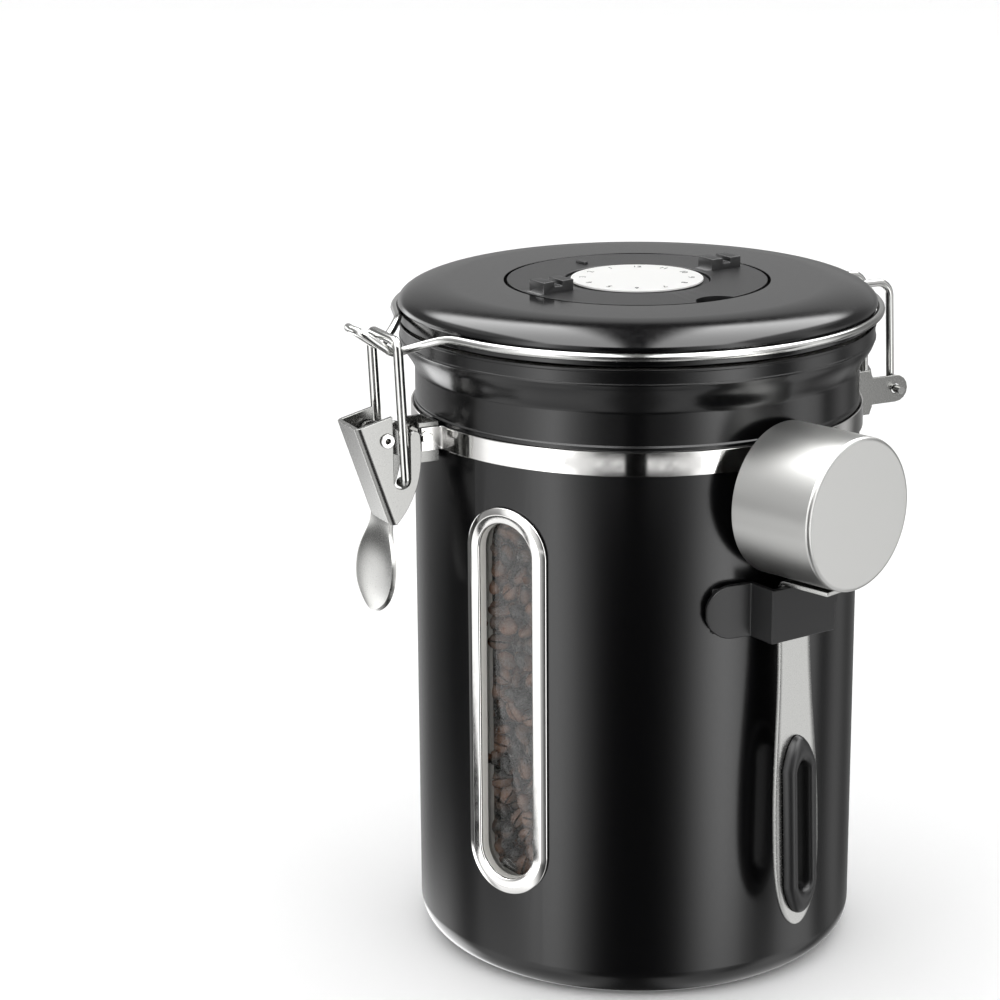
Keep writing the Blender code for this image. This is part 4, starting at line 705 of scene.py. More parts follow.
marks = []
for hour in range(12):
    turn = math.tau * hour / 12 + NUMBER_TURN
    deselect()
    bpy.ops.object.text_add(location=(0, 0, 0))
    letters = bpy.context.object.data
    letters.body = str(hour or 12)
    letters.size = NUMBER_SIZE
    letters.align_x = letters.align_y = "CENTER"
    letters.extrude = INK_DEPTH
    letters.resolution_u = 3
    bpy.ops.object.convert(target="MESH")
    number = bpy.context.object
    number.location = on_round(NUMBER_RADIUS, turn + math.pi, DISC_TOP + INK_LIFT)
    number.rotation_euler = (0, 0, turn)
    marks.append(settle(number))
numbers = joined("disc_numbers", marks)
dress(numbers, ink, "lid", "white_plastic")

# %% [markdown]
# ## Wires
#
# One wire goes from the hinge round the lid to a loop at the latch, and back. A second wire hangs from the
# loop and hooks into the lever. A bevelled curve gives round wire at once; the bends are rounded in the
# path first, because a wire can't turn a sharp corner.

# %% Lid wire and link wire
LID_WIRE, LINK_WIRE, LID_WIRE_HEIGHT = mm(1.1, 1.3, 175)
HINGE_OUT, HINGE_HEIGHT, PIVOT_OUT, PIVOT_HEIGHT = mm(77.5, 145, 76.6, 148)
LINK_BAR_OUT, LINK_BAR_HEIGHT, LEVER_HALF, SLOT_DROP, HOOK_OUT = mm(74, 174, 6.75, 13.4, 72.2)
LEG_X, LEG_LEAN, HINGE_END_X = mm(6.5, 1.3, 12.2)
WIRE_BEND_STEPS = 8
ROUND_LID_STEPS = 72
LID_WIRE_GAP = math.radians(13.5)


def bent(corners, radii):
    """A path in space through corners, each inner one rounded to its own radius."""
    path = [corners[0]]
    for before, corner, after, radius in zip(corners, corners[1:], corners[2:], radii):
        path += rounded(before, corner, after, radius, WIRE_BEND_STEPS)
    return path + [corners[-1]]


def smooth_curve(points, steps):
    """Points along a smooth curve through the given ones, ends included."""
    padded = [points[0] * 2 - points[1]] + points + [points[-1] * 2 - points[-2]]
    path = []
    for first, start, end, last in zip(padded, padded[1:], padded[2:], padded[3:]):
        for step in range(steps):
            t = step / steps
            path.append((start * 2 + (end - first) * t + (first * 2 - start * 5 + end * 4 - last) * t ** 2
                         + (start * 3 - first - end * 3 + last) * t ** 3) / 2)
    return path + [points[-1]]


ring = LIP_RADIUS + CLEAR / 2 + LID_WIRE
join = math.asin(LEG_X / ring)
sweep = math.pi - join - LID_WIRE_GAP
round_lid = [on_round(ring, math.pi - join - sweep * step / ROUND_LID_STEPS, LID_WIRE_HEIGHT)
             for step in range(ROUND_LID_STEPS + 1)]
leg = [at_back(HINGE_OUT, HINGE_HEIGHT, HINGE_END_X), at_back(HINGE_OUT, HINGE_HEIGHT, LEG_X),
       at_back(HINGE_OUT - LEG_LEAN, LID_WIRE_HEIGHT, LEG_X), round_lid[0], round_lid[3]]
under_bar = LINK_BAR_HEIGHT - LINK_WIRE - LID_WIRE - CLEAR * 2
tip_out = LINK_BAR_OUT + 9.1 * MM
tip_height = LID_WIRE_HEIGHT + 1.7 * MM
waist = 5.4 * MM
before_bar = LINK_BAR_OUT - LINK_WIRE * 2
loop = [round_lid[-1],
        in_front((before_bar - round_lid[-1].y) / 2, (LID_WIRE_HEIGHT + under_bar) / 2,
                 (round_lid[-1].x + waist) / 2),
        in_front(before_bar, under_bar, waist + LINK_WIRE / 2),
        in_front(LINK_BAR_OUT, under_bar - CLEAR, waist),
        in_front(LINK_BAR_OUT + LINK_WIRE * 2, under_bar + LINK_WIRE, waist),
        in_front(tip_out - LINK_WIRE, tip_height - LINK_WIRE / 2, waist - LID_WIRE),
        in_front(tip_out, tip_height, 0)]
loop_join = bent([round_lid[-5], round_lid[-1], loop[1], loop[2]], mm(14, 8))[1:-1]
half_wire = bent(leg, mm(1.5, 4, 2.5))[:-1] + round_lid[3:-5] + loop_join \
    + smooth_curve(loop[2:], 8)
other_half = [Vector((-spot.x, spot.y, spot.z)) for spot in reversed(half_wire[:-1])]
lid_wire = wire("lid_bail_wire", half_wire + other_half, LID_WIRE)
dress(lid_wire, drawn_wire, "lid", "bright_steel", "lid_wire")

hook_height = PIVOT_HEIGHT - SLOT_DROP + CLEAR + LINK_WIRE
link_x = LEVER_HALF + 0.35 * MM + LINK_WIRE
hook_x = 4.9 * MM
half_link = [(HOOK_OUT, hook_height, hook_x), (HOOK_OUT, hook_height, link_x),
             (LINK_BAR_OUT, LINK_BAR_HEIGHT, link_x)]
link_path = [in_front(*spot) for spot in half_link] + [in_front(out, height, -x)
                                                       for out, height, x in reversed(half_link)]
link = wire("latch_link_wire", bent(link_path, mm(1.6, 2.4, 2.4, 1.6)), LINK_WIRE)
dress(link, drawn_wire, "link", "bright_steel", "latch_link")

# %% [markdown]
# ## The latch lever
#
# One blank of sheet steel is folded to a channel: an outer web, two cheeks with a slot each for the link's
# hooks, and a dished spoon tab to lift it with. The channel starts as a prism of the cheeks' side view,
# gets round folds along the web, and is hollowed with a smaller prism. The slots go through both cheeks.

# %% Lever channel
LEVER_SHEET, WEB_FOLD, PIVOT_HOLE, THROUGH, NEAR = mm(1.2, 1.7, 1.5, 20, 0.05)
BULGE_STEPS = 18


def pivot_place(out, rise, x):
    return in_front(PIVOT_OUT + out, PIVOT_HEIGHT + rise, x)


def curve_between(start, first, second, end):
    """Points of a curve that leaves its start towards one guide and reaches its end from another."""
    points = []
    for step in range(BULGE_STEPS + 1):
        t = step / BULGE_STEPS
        weights = ((1 - t) ** 3, 3 * t * (1 - t) ** 2, 3 * t * t * (1 - t), t ** 3)
        points.append(tuple(sum(w * spot[axis] for w, spot in zip(weights, (start, first, second, end)))
                            for axis in (0, 1)))
    return points


TOP_OUTER, TOP_INNER = mm(8.6, 3.7), mm(-1.6, 6.2)
FOOT_OUTER, FOOT_INNER = mm(-0.6, -22.8), mm(-2.4, -22.8)
strip_top = arc(mm(-7.9, 0.2), 1.4 * MM, 0, math.pi, 10)
bulge = curve_between(strip_top[-1], mm(-10, -6.7), mm(-9.65, -15.2), FOOT_INNER)
slot_round = arc(mm(-4.1, -11), 2.4 * MM, 0, -math.pi, 16)
cheek = [TOP_OUTER, TOP_INNER] + slot_round + strip_top + bulge[1:] + [FOOT_OUTER]
lever = prism("latch_lever_sheet", cheek, pivot_place, -LEVER_HALF, LEVER_HALF)
edit(lever, "EDGE")
web_way = (Vector(TOP_OUTER) - Vector(FOOT_OUTER)).normalized()
web_out = Vector((web_way.y, -web_way.x))


def on_web_corner(spot, way):
    side = Vector((-spot.y - PIVOT_OUT, spot.z - PIVOT_HEIGHT)) - Vector(FOOT_OUTER)
    return abs(side.dot(web_out)) < NEAR and abs(abs(spot.x) - LEVER_HALF) < NEAR and abs(way.x) < 0.1


print("web folds:", pick_edges(lever, on_web_corner))
bpy.ops.mesh.bevel(offset=WEB_FOLD, segments=6, affect="EDGES")
lever = close_edit(lever)
inner_top = Vector(TOP_OUTER) - web_out * LEVER_SHEET + web_way * 3 * MM
inner_foot = Vector(FOOT_OUTER) - web_out * LEVER_SHEET - web_way * 2 * MM
hollow = [tuple(inner_foot), tuple(inner_top), (-14 * MM, inner_top.y + 2 * MM), (-14 * MM, inner_foot.y)]
cut(lever, prism("channel", hollow, pivot_place, -LEVER_HALF + LEVER_SHEET, LEVER_HALF - LEVER_SHEET))
drill(lever, PIVOT_HOLE, THROUGH, pivot_place(0, 0, 0), rotation=(0, math.pi / 2, 0), vertices=32)

# %% Spoon tab
# A station is its height over the pivot and its half width in mm, its share of the dish and its lean in mm.
TAB_STATIONS = [(-18.0, 6.2, 0, 0), (-20.5, 6.0, 0, 0), (-22.8, 5.9, 0.05, 0.15), (-25, 6.2, 0.2, 0.5),
                (-27.5, 7.9, 0.5, 0.9), (-30, 9.6, 0.8, 1.3), (-33, 11.1, 1, 1.8),
                (-36.5, 11.6, 1, 2.3), (-40, 10.9, 0.95, 2.8), (-43, 8.8, 0.75, 3.1),
                (-45.4, 5.2, 0.4, 3.3), (-46.6, 2.6, 0.1, 3.4), (-46.95, 0.5, 0, 3.4)]
TAB_DISH = 1.3 * MM
TAB_SIDES = [column / 6 - 1 for column in range(13)]
tab_rows = [[pivot_place(lean * MM + TAB_DISH * dish * (side * side - 1) - LEVER_SHEET, rise * MM,
                         half_width * MM * side) for side in TAB_SIDES]
            for rise, half_width, dish, lean in TAB_STATIONS]
spoon = skinned("spoon_tab", tab_rows)
change(spoon, "SUBSURF", levels=2, render_levels=2)
walled(spoon, LEVER_SHEET)
soften_edges(spoon, 0.3 * MM, 3, 60)
soften_edges(lever, 0.15 * MM, 2, 40)
shade(lever, 50, flat_faces=True)
shade(spoon, 50)
lever = joined("latch_lever_sheet", [lever, spoon])
# The lever takes the darker copy of the rolled steel, which is painted shade.
dress(lever, shaded_rolled_steel, "lever", "satin_steel", "latch_lever")

# %% [markdown]
# ## Rivet and bolt
#
# The lever turns on a tubular rivet whose ends are rolled over. The band is drawn together by a bolt with
# a hexagon head. Both lie across the latch, so they are turned upright first and then laid over.

# %% Rivet and bolt
def laid_across(piece, place):
    piece.rotation_euler = (0, math.pi / 2, 0)
    piece.location = place
    return settle(piece)


def two_ended(half_line):
    """The whole line of a piece with two equal ends, from the line of its upper half."""
    return [(radius, -height, rounding) for radius, height, rounding in half_line] + half_line[::-1]


RIVET_SEAT = LEVER_HALF + CLEAR
RIVET_END = RIVET_SEAT + 0.5 * MM
RIVET_BORE, RIVET_SHANK, RIVET_HEAD = mm(0.7, 1.2, 1.9)
rivet = turned("pivot_rivet", two_ended([
    (RIVET_BORE, RIVET_END, 0.2 * MM), (RIVET_HEAD, RIVET_END, 0.25 * MM),
    (RIVET_HEAD, RIVET_SEAT, 0.1 * MM), (RIVET_SHANK, RIVET_SEAT, 0)]), 40)
dress(laid_across(rivet, pivot_place(0, 0, 0)), polished_steel, "lever", "bright_steel", "lever_rivet")

BOLT_OUT, BOLT_HEIGHT = mm(65.2, 147.4)
BOLT_SEAT, BOLT_END, BOLT_SHANK, BOLT_HEAD = mm(5.7, 7.0, 1, 1.7)
bolt = turned("band_bolt_turned", two_ended([
    (0, BOLT_END, 0), (BOLT_HEAD, BOLT_END, 0.3 * MM), (BOLT_HEAD, BOLT_SEAT, 0.1 * MM),
    (BOLT_SHANK, BOLT_SEAT, 0)]), 6)
dress(laid_across(shade(bolt, 20), in_front(BOLT_OUT, BOLT_HEIGHT)), polished_steel, "canister",
      "bright_steel", "band_bolt")

# %% [markdown]
# ## Brackets
#
# The two brackets and the scoop's holder keep the CAD's shape. A copy of each CAD mesh is merged, its flat
# faces are dissolved to whole ones, and its edges are rounded, as on folded sheet with tumbled edges.

# %% Brackets and holder
def refined(node_name, name, width):
    """A copy of a CAD mesh with merged points, whole flat faces and rounded edges."""
    piece = linked(name, nodes[node_name].data.copy())
    edit(piece)
    bpy.ops.mesh.select_all(action="SELECT")
    bpy.ops.mesh.remove_doubles(threshold=0.01 * MM)
    bpy.ops.mesh.dissolve_limited(angle_limit=math.radians(1))
    bpy.ops.object.mode_set(mode="OBJECT")
    soften_edges(piece, width)
    return shade(piece, 50, flat_faces=True)


# The two brackets take the darker copy of the rolled steel, which is painted shade.
for node_name, name, width, material, slot in (
        ("latch_bracket", "latch_bracket_sheet", 0.15 * MM, shaded_rolled_steel, "satin_steel"),
        ("hinge_bracket", "hinge_bracket_sheet", 0.15 * MM, shaded_rolled_steel, "satin_steel"),
        ("scoop_holder", "scoop_holder_moulding", 0.3 * MM, moulded_abs, "moulded_black")):
    dress(refined(node_name, name, width), material, "canister", slot, node_name)

# %% [markdown]
# ## The scoop
#
# The cup is drawn from brushed steel and hangs with its mouth to the wall. The handle is a strip that
# starts under the cup, bends down through the holder and widens to a round end, with an oval moulded grip
# on both faces.

# %% Scoop's cup
HOLDER_AZIMUTH = math.radians(98.5)
SCOOP_TURN = math.radians(9.5)
SCOOP_AZIMUTH = HOLDER_AZIMUTH + SCOOP_TURN
SCOOP_MOUTH, HANDLE_OUT, HANDLE_THICKNESS = mm(61.1, 4.6, 1)
HOLDER_BOTTOM, HOLDER_TOP, CUP_RADIUS, CUP_DEPTH, CUP_WALL = mm(100.2, 114.4, 19.7, 24.9, 0.8)
TONGUE_HEIGHT = HOLDER_TOP + CLEAR + HANDLE_THICKNESS / 2
CUP_HEIGHT = TONGUE_HEIGHT + HANDLE_THICKNESS / 2 + CLEAR + CUP_RADIUS


def scoop_place(out, lateral, height):
    offset = -(SCOOP_MOUTH + HANDLE_OUT) * math.tan(SCOOP_TURN)
    return on_round(SCOOP_MOUTH + out, SCOOP_AZIMUTH, height, offset + lateral)


cup = turned("scoop_cup_drawn", [
    (0, CUP_DEPTH - CUP_WALL, 0), (CUP_RADIUS - CUP_WALL, CUP_DEPTH - CUP_WALL, 0.4 * MM),
    (CUP_RADIUS - CUP_WALL, 0, 0.2 * MM), (CUP_RADIUS, 0, 0.2 * MM), (CUP_RADIUS, CUP_DEPTH, 1.2 * MM),
    (0, CUP_DEPTH, 0)])
cup.rotation_mode = "QUATERNION"
cup.rotation_quaternion = Vector((0, 0, 1)).rotation_difference(scoop_place(1, 0, 0) - scoop_place(0, 0, 0))
cup.location = scoop_place(0, 0, CUP_HEIGHT)
dress(settle(cup), brushed_steel, "scoop", "satin_steel", "scoop_cup")

# %% Scoop's handle
GRIP_HALF_WIDTH, GRIP_HALF_LENGTH = mm(7.6, 24.5)
SLOT_HALF_WIDTH, SLOT_HALF_LENGTH, SLOT_MARGIN = mm(2.25, 17.5, 1.5)
HANDLE_NECK, HANDLE_WIDE, HANDLE_LEAN, HANDLE_BEND, TONGUE_END = mm(5.8, 8.5, 2.9, 1.5, 20)
GRIP_MIDDLE = HOLDER_BOTTOM - 51.7 * MM
HANDLE_TIP = GRIP_MIDDLE - GRIP_HALF_LENGTH - 3.2 * MM
STEM_ROWS = 48


def handle_lean(height):
    share = (HOLDER_BOTTOM - height) / (HOLDER_BOTTOM - HANDLE_TIP)
    return HANDLE_OUT + HANDLE_LEAN * max(share, 0)


def handle_half(height):
    if height > GRIP_MIDDLE:
        share = min((height - GRIP_MIDDLE) / (HOLDER_BOTTOM - GRIP_MIDDLE), 1)
        return HANDLE_NECK + (HANDLE_WIDE - HANDLE_NECK) * (1 + math.cos(math.pi * share)) / 2
    share = (GRIP_MIDDLE - height) / (GRIP_MIDDLE - HANDLE_TIP)
    return HANDLE_WIDE * max(1 - share ** 3, 0) ** 0.5


bend = arc((HANDLE_OUT + HANDLE_BEND, TONGUE_HEIGHT - HANDLE_BEND), HANDLE_BEND, math.pi / 2, math.pi, 8)
stem = [HOLDER_BOTTOM + (HANDLE_TIP - HOLDER_BOTTOM) * math.sin(math.pi / 2 * step / STEM_ROWS)
        for step in range(STEM_ROWS)]
handle_line = [(TONGUE_END, TONGUE_HEIGHT), *bend, *((handle_lean(height), height) for height in stem)]
handle_rows = [[scoop_place(out, handle_half(height) * column / 4, height) for column in range(-4, 5)]
               for out, height in handle_line]
handle = walled(skinned("scoop_handle_strip", handle_rows), HANDLE_THICKNESS)


def grip_place(across, along, proud):
    height = GRIP_MIDDLE + along
    return scoop_place(handle_lean(height) + proud, across, height)


cut(handle, prism("handle_slot", stadium(SLOT_HALF_WIDTH + SLOT_MARGIN, SLOT_HALF_LENGTH + SLOT_MARGIN),
                  grip_place, *mm(-3, 3)))
soften_edges(handle, 0.2 * MM, 2, 60)
dress(shade(handle), rolled_steel, "scoop", "satin_steel", "scoop_handle")

# %% Scoop's grip
grip_slot = stadium(SLOT_HALF_WIDTH, SLOT_HALF_LENGTH, 24)
grip_oval = []
for across, along in grip_slot:
    turn = math.atan2(along / SLOT_HALF_LENGTH, across / SLOT_HALF_WIDTH)
    grip_oval.append((GRIP_HALF_WIDTH * math.cos(turn), GRIP_HALF_LENGTH * math.sin(turn)))
# The section of one face, as its share of the way from the slot to the edge and its height in mm.
half_section = [(share, height * MM) for share, height in (
    (0, 0), (0, 1.6), (0.04, 2.5), (0.12, 3.1), (0.25, 3.5), (0.42, 3.6), (0.6, 3.45), (0.78, 3.0),
    (0.9, 2.35), (0.97, 1.6), (1, 0.8), (0.11, 0.8))]
grip_section = half_section + [(share, -height) for share, height in reversed(half_section[1:])]
grip_rows = [[grip_place(near[0] + share * (far[0] - near[0]), near[1] + share * (far[1] - near[1]), height)
              for near, far in zip(grip_slot, grip_oval)] for share, height in grip_section]
grip = closed_skin("scoop_grip_moulding", grip_rows, 50)
dress(grip, moulded_abs, "scoop", "moulded_black", "scoop_grip")

# %% [markdown]
# ## Coffee beans
#
# The canister is full of dark roast. One bean is shaped from a ball: flattened on one side, with the crease
# pressed in along its length. Copies lie at random behind the window and over the whole top, round a
# plain core that fills the middle, so that the open canister looks full too.

# %% One bean
BEAN_LENGTH, BEAN_WIDTH, BEAN_DEPTH = mm(6.6, 4.8, 3.7)
FLAT_SIDE = 0.36
CREASE_HALF = 0.1
CREASE_LIP = 0.45
CREASE_WIDTH = 0.13
CREASE_DEPTH = 0.42
CREASE_END = 0.97
BEAN_SIZES = (0.85, 1.08)
BEAN_LEAN = 0.45
CREASE_SHOWN = 0.6
rng = random.Random(7)


def bean_shape():
    """One bean, with its length along X and its flat, creased side on top."""
    deselect()
    bpy.ops.mesh.primitive_uv_sphere_add(segments=16, ring_count=9, radius=1, location=(0, 0, 0),
                                         rotation=(0, math.pi / 2, 0))
    ball = settle(bpy.context.object)
    for vert in ball.data.vertices:
        x, y, z = vert.co
        top = z > 0
        taper = math.sqrt(max(1 - x ** 2, 0))
        groove = top and abs(y) < CREASE_HALF and abs(x) < CREASE_END
        lip = top and CREASE_HALF < abs(y) < CREASE_LIP * taper
        across = math.copysign(CREASE_WIDTH, y) * taper if lip else y
        height = z * BEAN_DEPTH * (FLAT_SIDE if top else 1 - FLAT_SIDE)
        if groove:
            height -= CREASE_DEPTH * BEAN_DEPTH * taper
        vert.co = (x * BEAN_LENGTH / 2, across * BEAN_WIDTH / 2, height)
    return ball


# %% Scattering beans
def scatter(name, spots):
    """Copies the bean to each (place, outward direction), turned at random, and joins the copies."""
    bean = bean_shape()
    points = [vert.co.copy() for vert in bean.data.vertices]
    faces = [tuple(face.vertices) for face in bean.data.polygons]
    bpy.data.objects.remove(bean)
    all_points, all_faces = [], []
    for place, outward in spots:
        size = rng.uniform(*BEAN_SIZES)
        lean = Vector([rng.gauss(0, BEAN_LEAN) for axis in range(3)])
        face_way = (outward + lean).normalized() * (1 if rng.random() < CREASE_SHOWN else -1)
        spin = Matrix.Rotation(rng.uniform(0, math.tau), 3, "Z")
        turn = face_way.to_track_quat("Z", "Y").to_matrix() @ spin
        start = len(all_points)
        all_points += [tuple(turn @ (point * size) + place) for point in points]
        all_faces += [tuple(index + start for index in face) for face in faces]
    return shade(built(name, all_points, all_faces), 60)


def staggered(left, right, low, high, pitch, rise, shift):
    """Places in rows, as (across, along). Every second row is shifted."""
    row, along = 0, low
    while along < high:
        across = left + (row % 2) * shift
        while across < right:
            yield across, along
            across += pitch
        along += rise
        row += 1


# %% Beans behind the window and over the top
JITTER = 0.7
BEAN_LAYERS = mm(-6.6, -10.2)
LAYER_HALF = 13
LAYER_SHIFT = 1.5
BEAN_TOP, HEAP_RADIUS = mm(131, 54.5)
window_spots = []
for layer, out in enumerate(BEAN_LAYERS):
    for across, along in staggered((layer * LAYER_SHIFT - LAYER_HALF) * MM, LAYER_HALF * MM,
                                   -WINDOW_HALF_LENGTH - 4 * MM, WINDOW_HALF_LENGTH + 3 * MM,
                                   *mm(5.9, 4.8, 2.9)):
        jitter = [rng.uniform(-JITTER, JITTER) * MM for axis in range(3)]
        place = on_window(across + jitter[0], along + jitter[1], out + jitter[2] * 0.5)
        window_spots.append((place, on_round(1, WINDOW_AZIMUTH, 0)))
dress(scatter("coffee_beans_window", window_spots), coffee, "canister", "moulded_black")

top_spots = []
for x, y in staggered(-54 * MM, HEAP_RADIUS, -54 * MM, HEAP_RADIUS, *mm(5.2, 4.4, 2.6)):
    spot = Vector((x + rng.uniform(-JITTER, JITTER) * MM, y + rng.uniform(-JITTER, JITTER) * MM,
                   BEAN_TOP + rng.uniform(-0.9, 0.9) * MM))
    if spot.xy.length < HEAP_RADIUS:
        top_spots.append((spot, Vector((0, 0, 1))))
dress(scatter("coffee_beans_top", top_spots), coffee, "canister", "moulded_black")
print("beans:", len(window_spots), len(top_spots))

# %% Core of the coffee
CORE_RADIUS = 48 * MM
CORE_BOTTOM = 3 * MM
CORE_TOP = BEAN_TOP - 1.5 * MM
core = turned("coffee_core", [(0, CORE_BOTTOM, 0), (CORE_RADIUS, CORE_BOTTOM, 3 * MM),
                              (CORE_RADIUS, CORE_TOP, 1 * MM), (0, CORE_TOP, 0)], 72)
dress(core, coffee, "canister", "moulded_black")

# %% [markdown]
# ## CAD pieces that stay
#
# Gaskets, pan, hub, valve and pads keep their CAD shape. They get the finish of their material.

# %% Finishes of the CAD pieces
KEPT = {"window_gasket": silicone, "window_retainer": silicone, "holder_pad_front": foam,
        "holder_pad_back": foam, "lid_pan": moulded_abs, "lid_gasket": silicone, "dial_hub": moulded_abs,
        "hub_gasket": silicone, "filter_screen": rolled_steel, "valve_seat": moulded_abs,
        "valve_disc": silicone, "valve_nut": moulded_abs}
for name, material in KEPT.items():
    for slot in nodes[name].material_slots:
        slot.material = material
print("kept:", len(KEPT))

# %% [markdown]
# ## Studio
#
# The canister stands on a plain pale floor. Three weak lamps and a plain white world light it, at a level
# that shows colours about as they are written.
#
# Black and bright things show what they mirror, so a dome that only mirrored rays see stands in for the
# walls of a photographer's studio. Rings of light and dark run round it: two tall soft boxes, left and right
# of the camera, draw the two soft bands on the body, and the dark between them keeps its middle black. Its
# bottom is the floor as the body mirrors it, and a light overhead draws the line along the lid's roll.
# Close to the canister, two thin strips brighten the neck band, and a dark card takes the haze off one
# corner of the pane.

# %% Floor
deselect()
bpy.ops.mesh.primitive_plane_add(size=8, location=(0, 0, -0.05 * MM))
floor = bpy.context.object
floor.name = "studio_floor"
floor.data.materials.append(finish("floor_paint", "#FAFAFA", 0.8))
print("floor at", round(floor.location.z / MM, 3), "mm")

# %% Camera
HEADING, PITCH, ROLL = (math.radians(angle) for angle in (63.85, 15.75, -0.46))
camera_data = bpy.data.cameras.new("camera")
camera_data.lens = 101.96
camera_data.sensor_width = 36
camera = linked("camera", camera_data)
camera.location = (0.6507, -0.3607, 0.3304)
camera.rotation_euler = (Matrix.Rotation(HEADING, 3, "Z") @ Matrix.Rotation(math.pi / 2 - PITCH, 3, "X")
                         @ Matrix.Rotation(ROLL, 3, "Z")).to_euler()
bpy.context.scene.camera = camera
print("camera at", tuple(round(value, 3) for value in camera.location))

# %% Lamps
VIEW_AZIMUTH = math.radians(61)
CANISTER_MIDDLE = Vector((0, 0, 90 * MM))


def soft_box(name, azimuth, distance, height, width, tall, power):
    """An area lamp at an azimuth from the camera's side, aimed at the canister."""
    lamp_data = bpy.data.lights.new(name, "AREA")
    lamp_data.shape = "RECTANGLE"
    lamp_data.size = width
    lamp_data.size_y = tall
    lamp_data.energy = power
    lamp = linked(name, lamp_data)
    lamp.location = on_round(distance, VIEW_AZIMUTH + math.radians(azimuth), height)
    lamp.rotation_euler = (CANISTER_MIDDLE - lamp.location).to_track_quat("-Z", "Y").to_euler()
    lamp.visible_glossy = False
    print(name, power, "W")


soft_box("soft_box_left", azimuth=-46, distance=1.5, height=0.7, width=0.7, tall=1.2, power=3)
soft_box("soft_box_right", azimuth=46, distance=1.5, height=0.7, width=0.6, tall=1.2, power=2)
soft_box("soft_box_top", azimuth=180, distance=0.6, height=1.6, width=1.2, tall=1.2, power=1.5)

# %% Light dome's levels
# Levels by azimuth from the camera's side, where 1 is white, in four rings: near the floor, below the
# canister's foot, level with the canister and above it.
DEEP_LEVELS = [(-180, 0.9), (-155, 3.0), (-120, 3.0), (-100, 0.6), (-86, 1.2), (-60, 1.2), (-42, 1.5),
               (-20, 0.05), (20, 0.05), (42, 1.0), (60, 0.3), (83, 1.3), (104, 1.0), (125, 0.2), (180, 0.9)]
LOW_LEVELS = [(-180, 0.5), (-154, 0.5), (-130, 0.2), (-118, 0.12), (-110, 0.02), (-94, 0.03), (-87, 0.8),
              (-78, 1.4), (-62, 1.5), (-50, 2.2), (-42, 3.2), (-34, 2.1), (-26, 0.8), (-17, 0.1), (-10, 0),
              (10, 0), (18, 0.1), (25, 0.45), (32, 1.5), (39, 2.8), (46, 3.5), (54, 2.9), (61, 1.0),
              (68, 0.08), (76, 0.02), (83, 1.3), (91, 1.7), (104, 1.2), (112, 0.02), (128, 0.5),
              (145, 0.12), (180, 0.4)]
LEVEL_LEVELS = [(-180, 0.3), (-150, 0.8), (-135, 3.6), (-108, 3.6), (-98, 0.3), (-72, 0.3), (-60, 1.2),
                (-46, 3), (-30, 1), (-15, 0.02), (12, 0.02), (28, 1), (46, 3), (60, 0.6), (75, 0.3),
                (90, 1.4), (105, 0.8), (125, 0.3), (180, 0.3)]
HIGH_LEVELS = [(-180, 0.5), (-160, 0.45), (-135, 0.25), (-110, 0.4), (-75, 0.5), (-60, 1.5), (-46, 3),
               (-30, 1), (-15, 0.02), (12, 0.02), (28, 1), (46, 3), (60, 1), (75, 0.8), (90, 1.2),
               (110, 0.3), (135, 0.25), (160, 0.45), (180, 0.5)]
BRIGHTEST = 6
ROOF = 1.1
OVERHEAD = 6
UNLIT = 0.05
MIRRORED_FLOOR = 0.9

# %% Light dome
deselect()
bpy.ops.mesh.primitive_uv_sphere_add(segments=96, ring_count=48, radius=3, location=(0, 0, 0))
dome = bpy.context.object
dome.name = "light_dome"
shade(dome, 180)


def bare_material(name):
    """A material with no nodes yet."""
    material = bpy.data.materials.new(name)
    material.use_nodes = True
    material.node_tree.nodes.clear()
    return material


def give_off(material, strength, links=()):
    """Ends a material in a plain glow and returns it."""
    shine = node(material, "ShaderNodeEmission", links=links, Strength=strength)
    node(material, "ShaderNodeOutputMaterial", links={"Surface": shine.outputs["Emission"]})
    return material


glow = bare_material("dome_glow")
place = node(glow, "ShaderNodeTexCoord").outputs["Object"]
seen_place = node(glow, "ShaderNodeMapping", links={"Vector": place},
                  Rotation=(0, 0, math.pi / 2 - VIEW_AZIMUTH)).outputs["Vector"]
around = node(glow, "ShaderNodeTexGradient", {"gradient_type": "RADIAL"}, {"Vector": seen_place})
parts = node(glow, "ShaderNodeSeparateXYZ", links={"Vector": seen_place})


def light_ring(levels):
    """Light by azimuth, as a colour ramp round the dome."""
    boxes = node(glow, "ShaderNodeValToRGB", links={"Fac": around.outputs["Fac"]})
    ramp = boxes.color_ramp
    ramp.interpolation = "EASE"
    for index, (azimuth, light) in enumerate(levels):
        position = 0.5 + azimuth / 360
        stop = ramp.elements[0] if index == 0 else ramp.elements[-1] if index == len(levels) - 1 \
            else ramp.elements.new(position)
        stop.position = position
        stop.color = (light / BRIGHTEST,) * 3 + (1,)
    return boxes.outputs["Color"]


def blended(first, second, value, low, high):
    """One light that becomes another as a value goes from low to high. A light is a socket or a level."""
    share = node(glow, "ShaderNodeMapRange", {"interpolation_type": "SMOOTHSTEP"}, {"Value": value},
                 From_Min=low, From_Max=high, To_Min=0, To_Max=1)
    blend = node(glow, "ShaderNodeMix", {"data_type": "RGBA"}, {"Factor": share.outputs["Result"]})
    for socket, light in ((blend.inputs[6], first), (blend.inputs[7], second)):
        if isinstance(light, (int, float)):
            socket.default_value = (light / BRIGHTEST,) * 3 + (1,)
        else:
            glow.node_tree.links.new(light, socket)
    return blend.outputs[2]


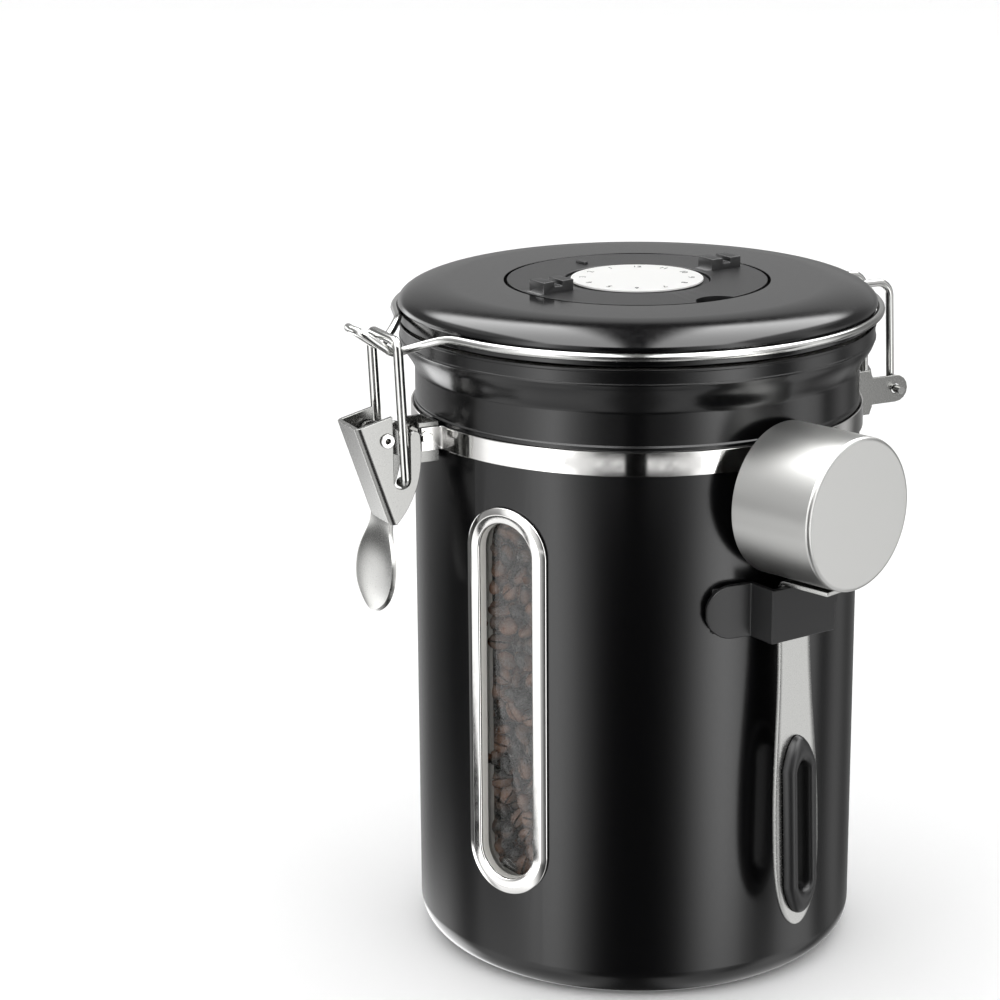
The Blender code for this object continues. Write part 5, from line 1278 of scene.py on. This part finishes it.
# %% The dome's light, from the floor up
height = parts.outputs["Z"]
beside = node(glow, "ShaderNodeMath", {"operation": "ABSOLUTE"}, {0: parts.outputs["Y"]}).outputs["Value"]
light = blended(UNLIT, MIRRORED_FLOOR, beside, 0.2, 0.7)
for low, high, levels in ((-2.3, -1.9, DEEP_LEVELS), (-1.35, -1.15, LOW_LEVELS),
                          (-0.6, -0.25, LEVEL_LEVELS), (0.2, 0.6, HIGH_LEVELS)):
    light = blended(light, light_ring(levels), height, low, high)
overhead = blended(UNLIT, OVERHEAD, beside, 0.15, 0.45)
overhead = blended(overhead, ROOF, beside, 1.7, 2.0)
overhead = blended(UNLIT, overhead, parts.outputs["X"], -2.3, -1.9)
light = blended(light, overhead, height, 1.4, 1.9)
dome.data.materials.append(give_off(glow, BRIGHTEST, {"Color": light}))


def only_mirrored(card):
    """Stage piece that only mirrored rays see."""
    for ray in ("camera", "diffuse", "transmission", "shadow"):
        setattr(card, "visible_" + ray, False)
    print(card.name, len(card.data.polygons), "faces")


only_mirrored(dome)
floor.visible_glossy = False

# %% Cards close to the canister
CARD_RADIUS = 2
CARD_MIDDLE = 80 * MM
CARD_LEFT, CARD_RIGHT, CARD_BOTTOM, CARD_TOP = -83, -56, -24, -18.4
CARD_SLOPE = 5 / 24
STRIP_RADIUS = 350 * MM
STRIP_HEIGHTS = mm(63.5, 74.2)
STRIP_STEPS = 16


def card_place(azimuth, elevation):
    """A place on the card, by azimuth from the camera's side and elevation seen from the window."""
    rise = CARD_RADIUS * math.tan(math.radians(elevation))
    return on_round(CARD_RADIUS, VIEW_AZIMUTH + math.radians(azimuth), CARD_MIDDLE + rise)


def add_card(name, rows, level):
    card = skinned(name, rows)
    card.data.materials.append(give_off(bare_material(name + "_glow"), level))
    only_mirrored(card)


# The dark card's upper edge slopes down, as the edge of the haze does.
card_rows = [[card_place(azimuth, CARD_BOTTOM),
              card_place(azimuth, CARD_TOP - (azimuth - CARD_LEFT) * CARD_SLOPE)]
             for azimuth in range(CARD_LEFT, CARD_RIGHT, 2)]
add_card("dark_card", card_rows, 0)
for side, low, high in (("left", -33, -5), ("right", 5, 30)):
    turns = [VIEW_AZIMUTH + math.radians(low + (high - low) * step / STRIP_STEPS)
             for step in range(STRIP_STEPS + 1)]
    add_card("strip_light_" + side, [[on_round(STRIP_RADIUS, turn, rise) for rise in STRIP_HEIGHTS]
                                     for turn in turns], 1)

# %% World and view
world = bpy.data.worlds.new("studio_world")
bpy.context.scene.world = world
world.use_nodes = True
background = world.node_tree.nodes["Background"]
background.inputs["Color"].default_value = linear("#FFFFFF")
background.inputs["Strength"].default_value = 1
bpy.context.scene.view_settings.view_transform = "Standard"
print("world:", world.name, "view:", bpy.context.scene.view_settings.view_transform)
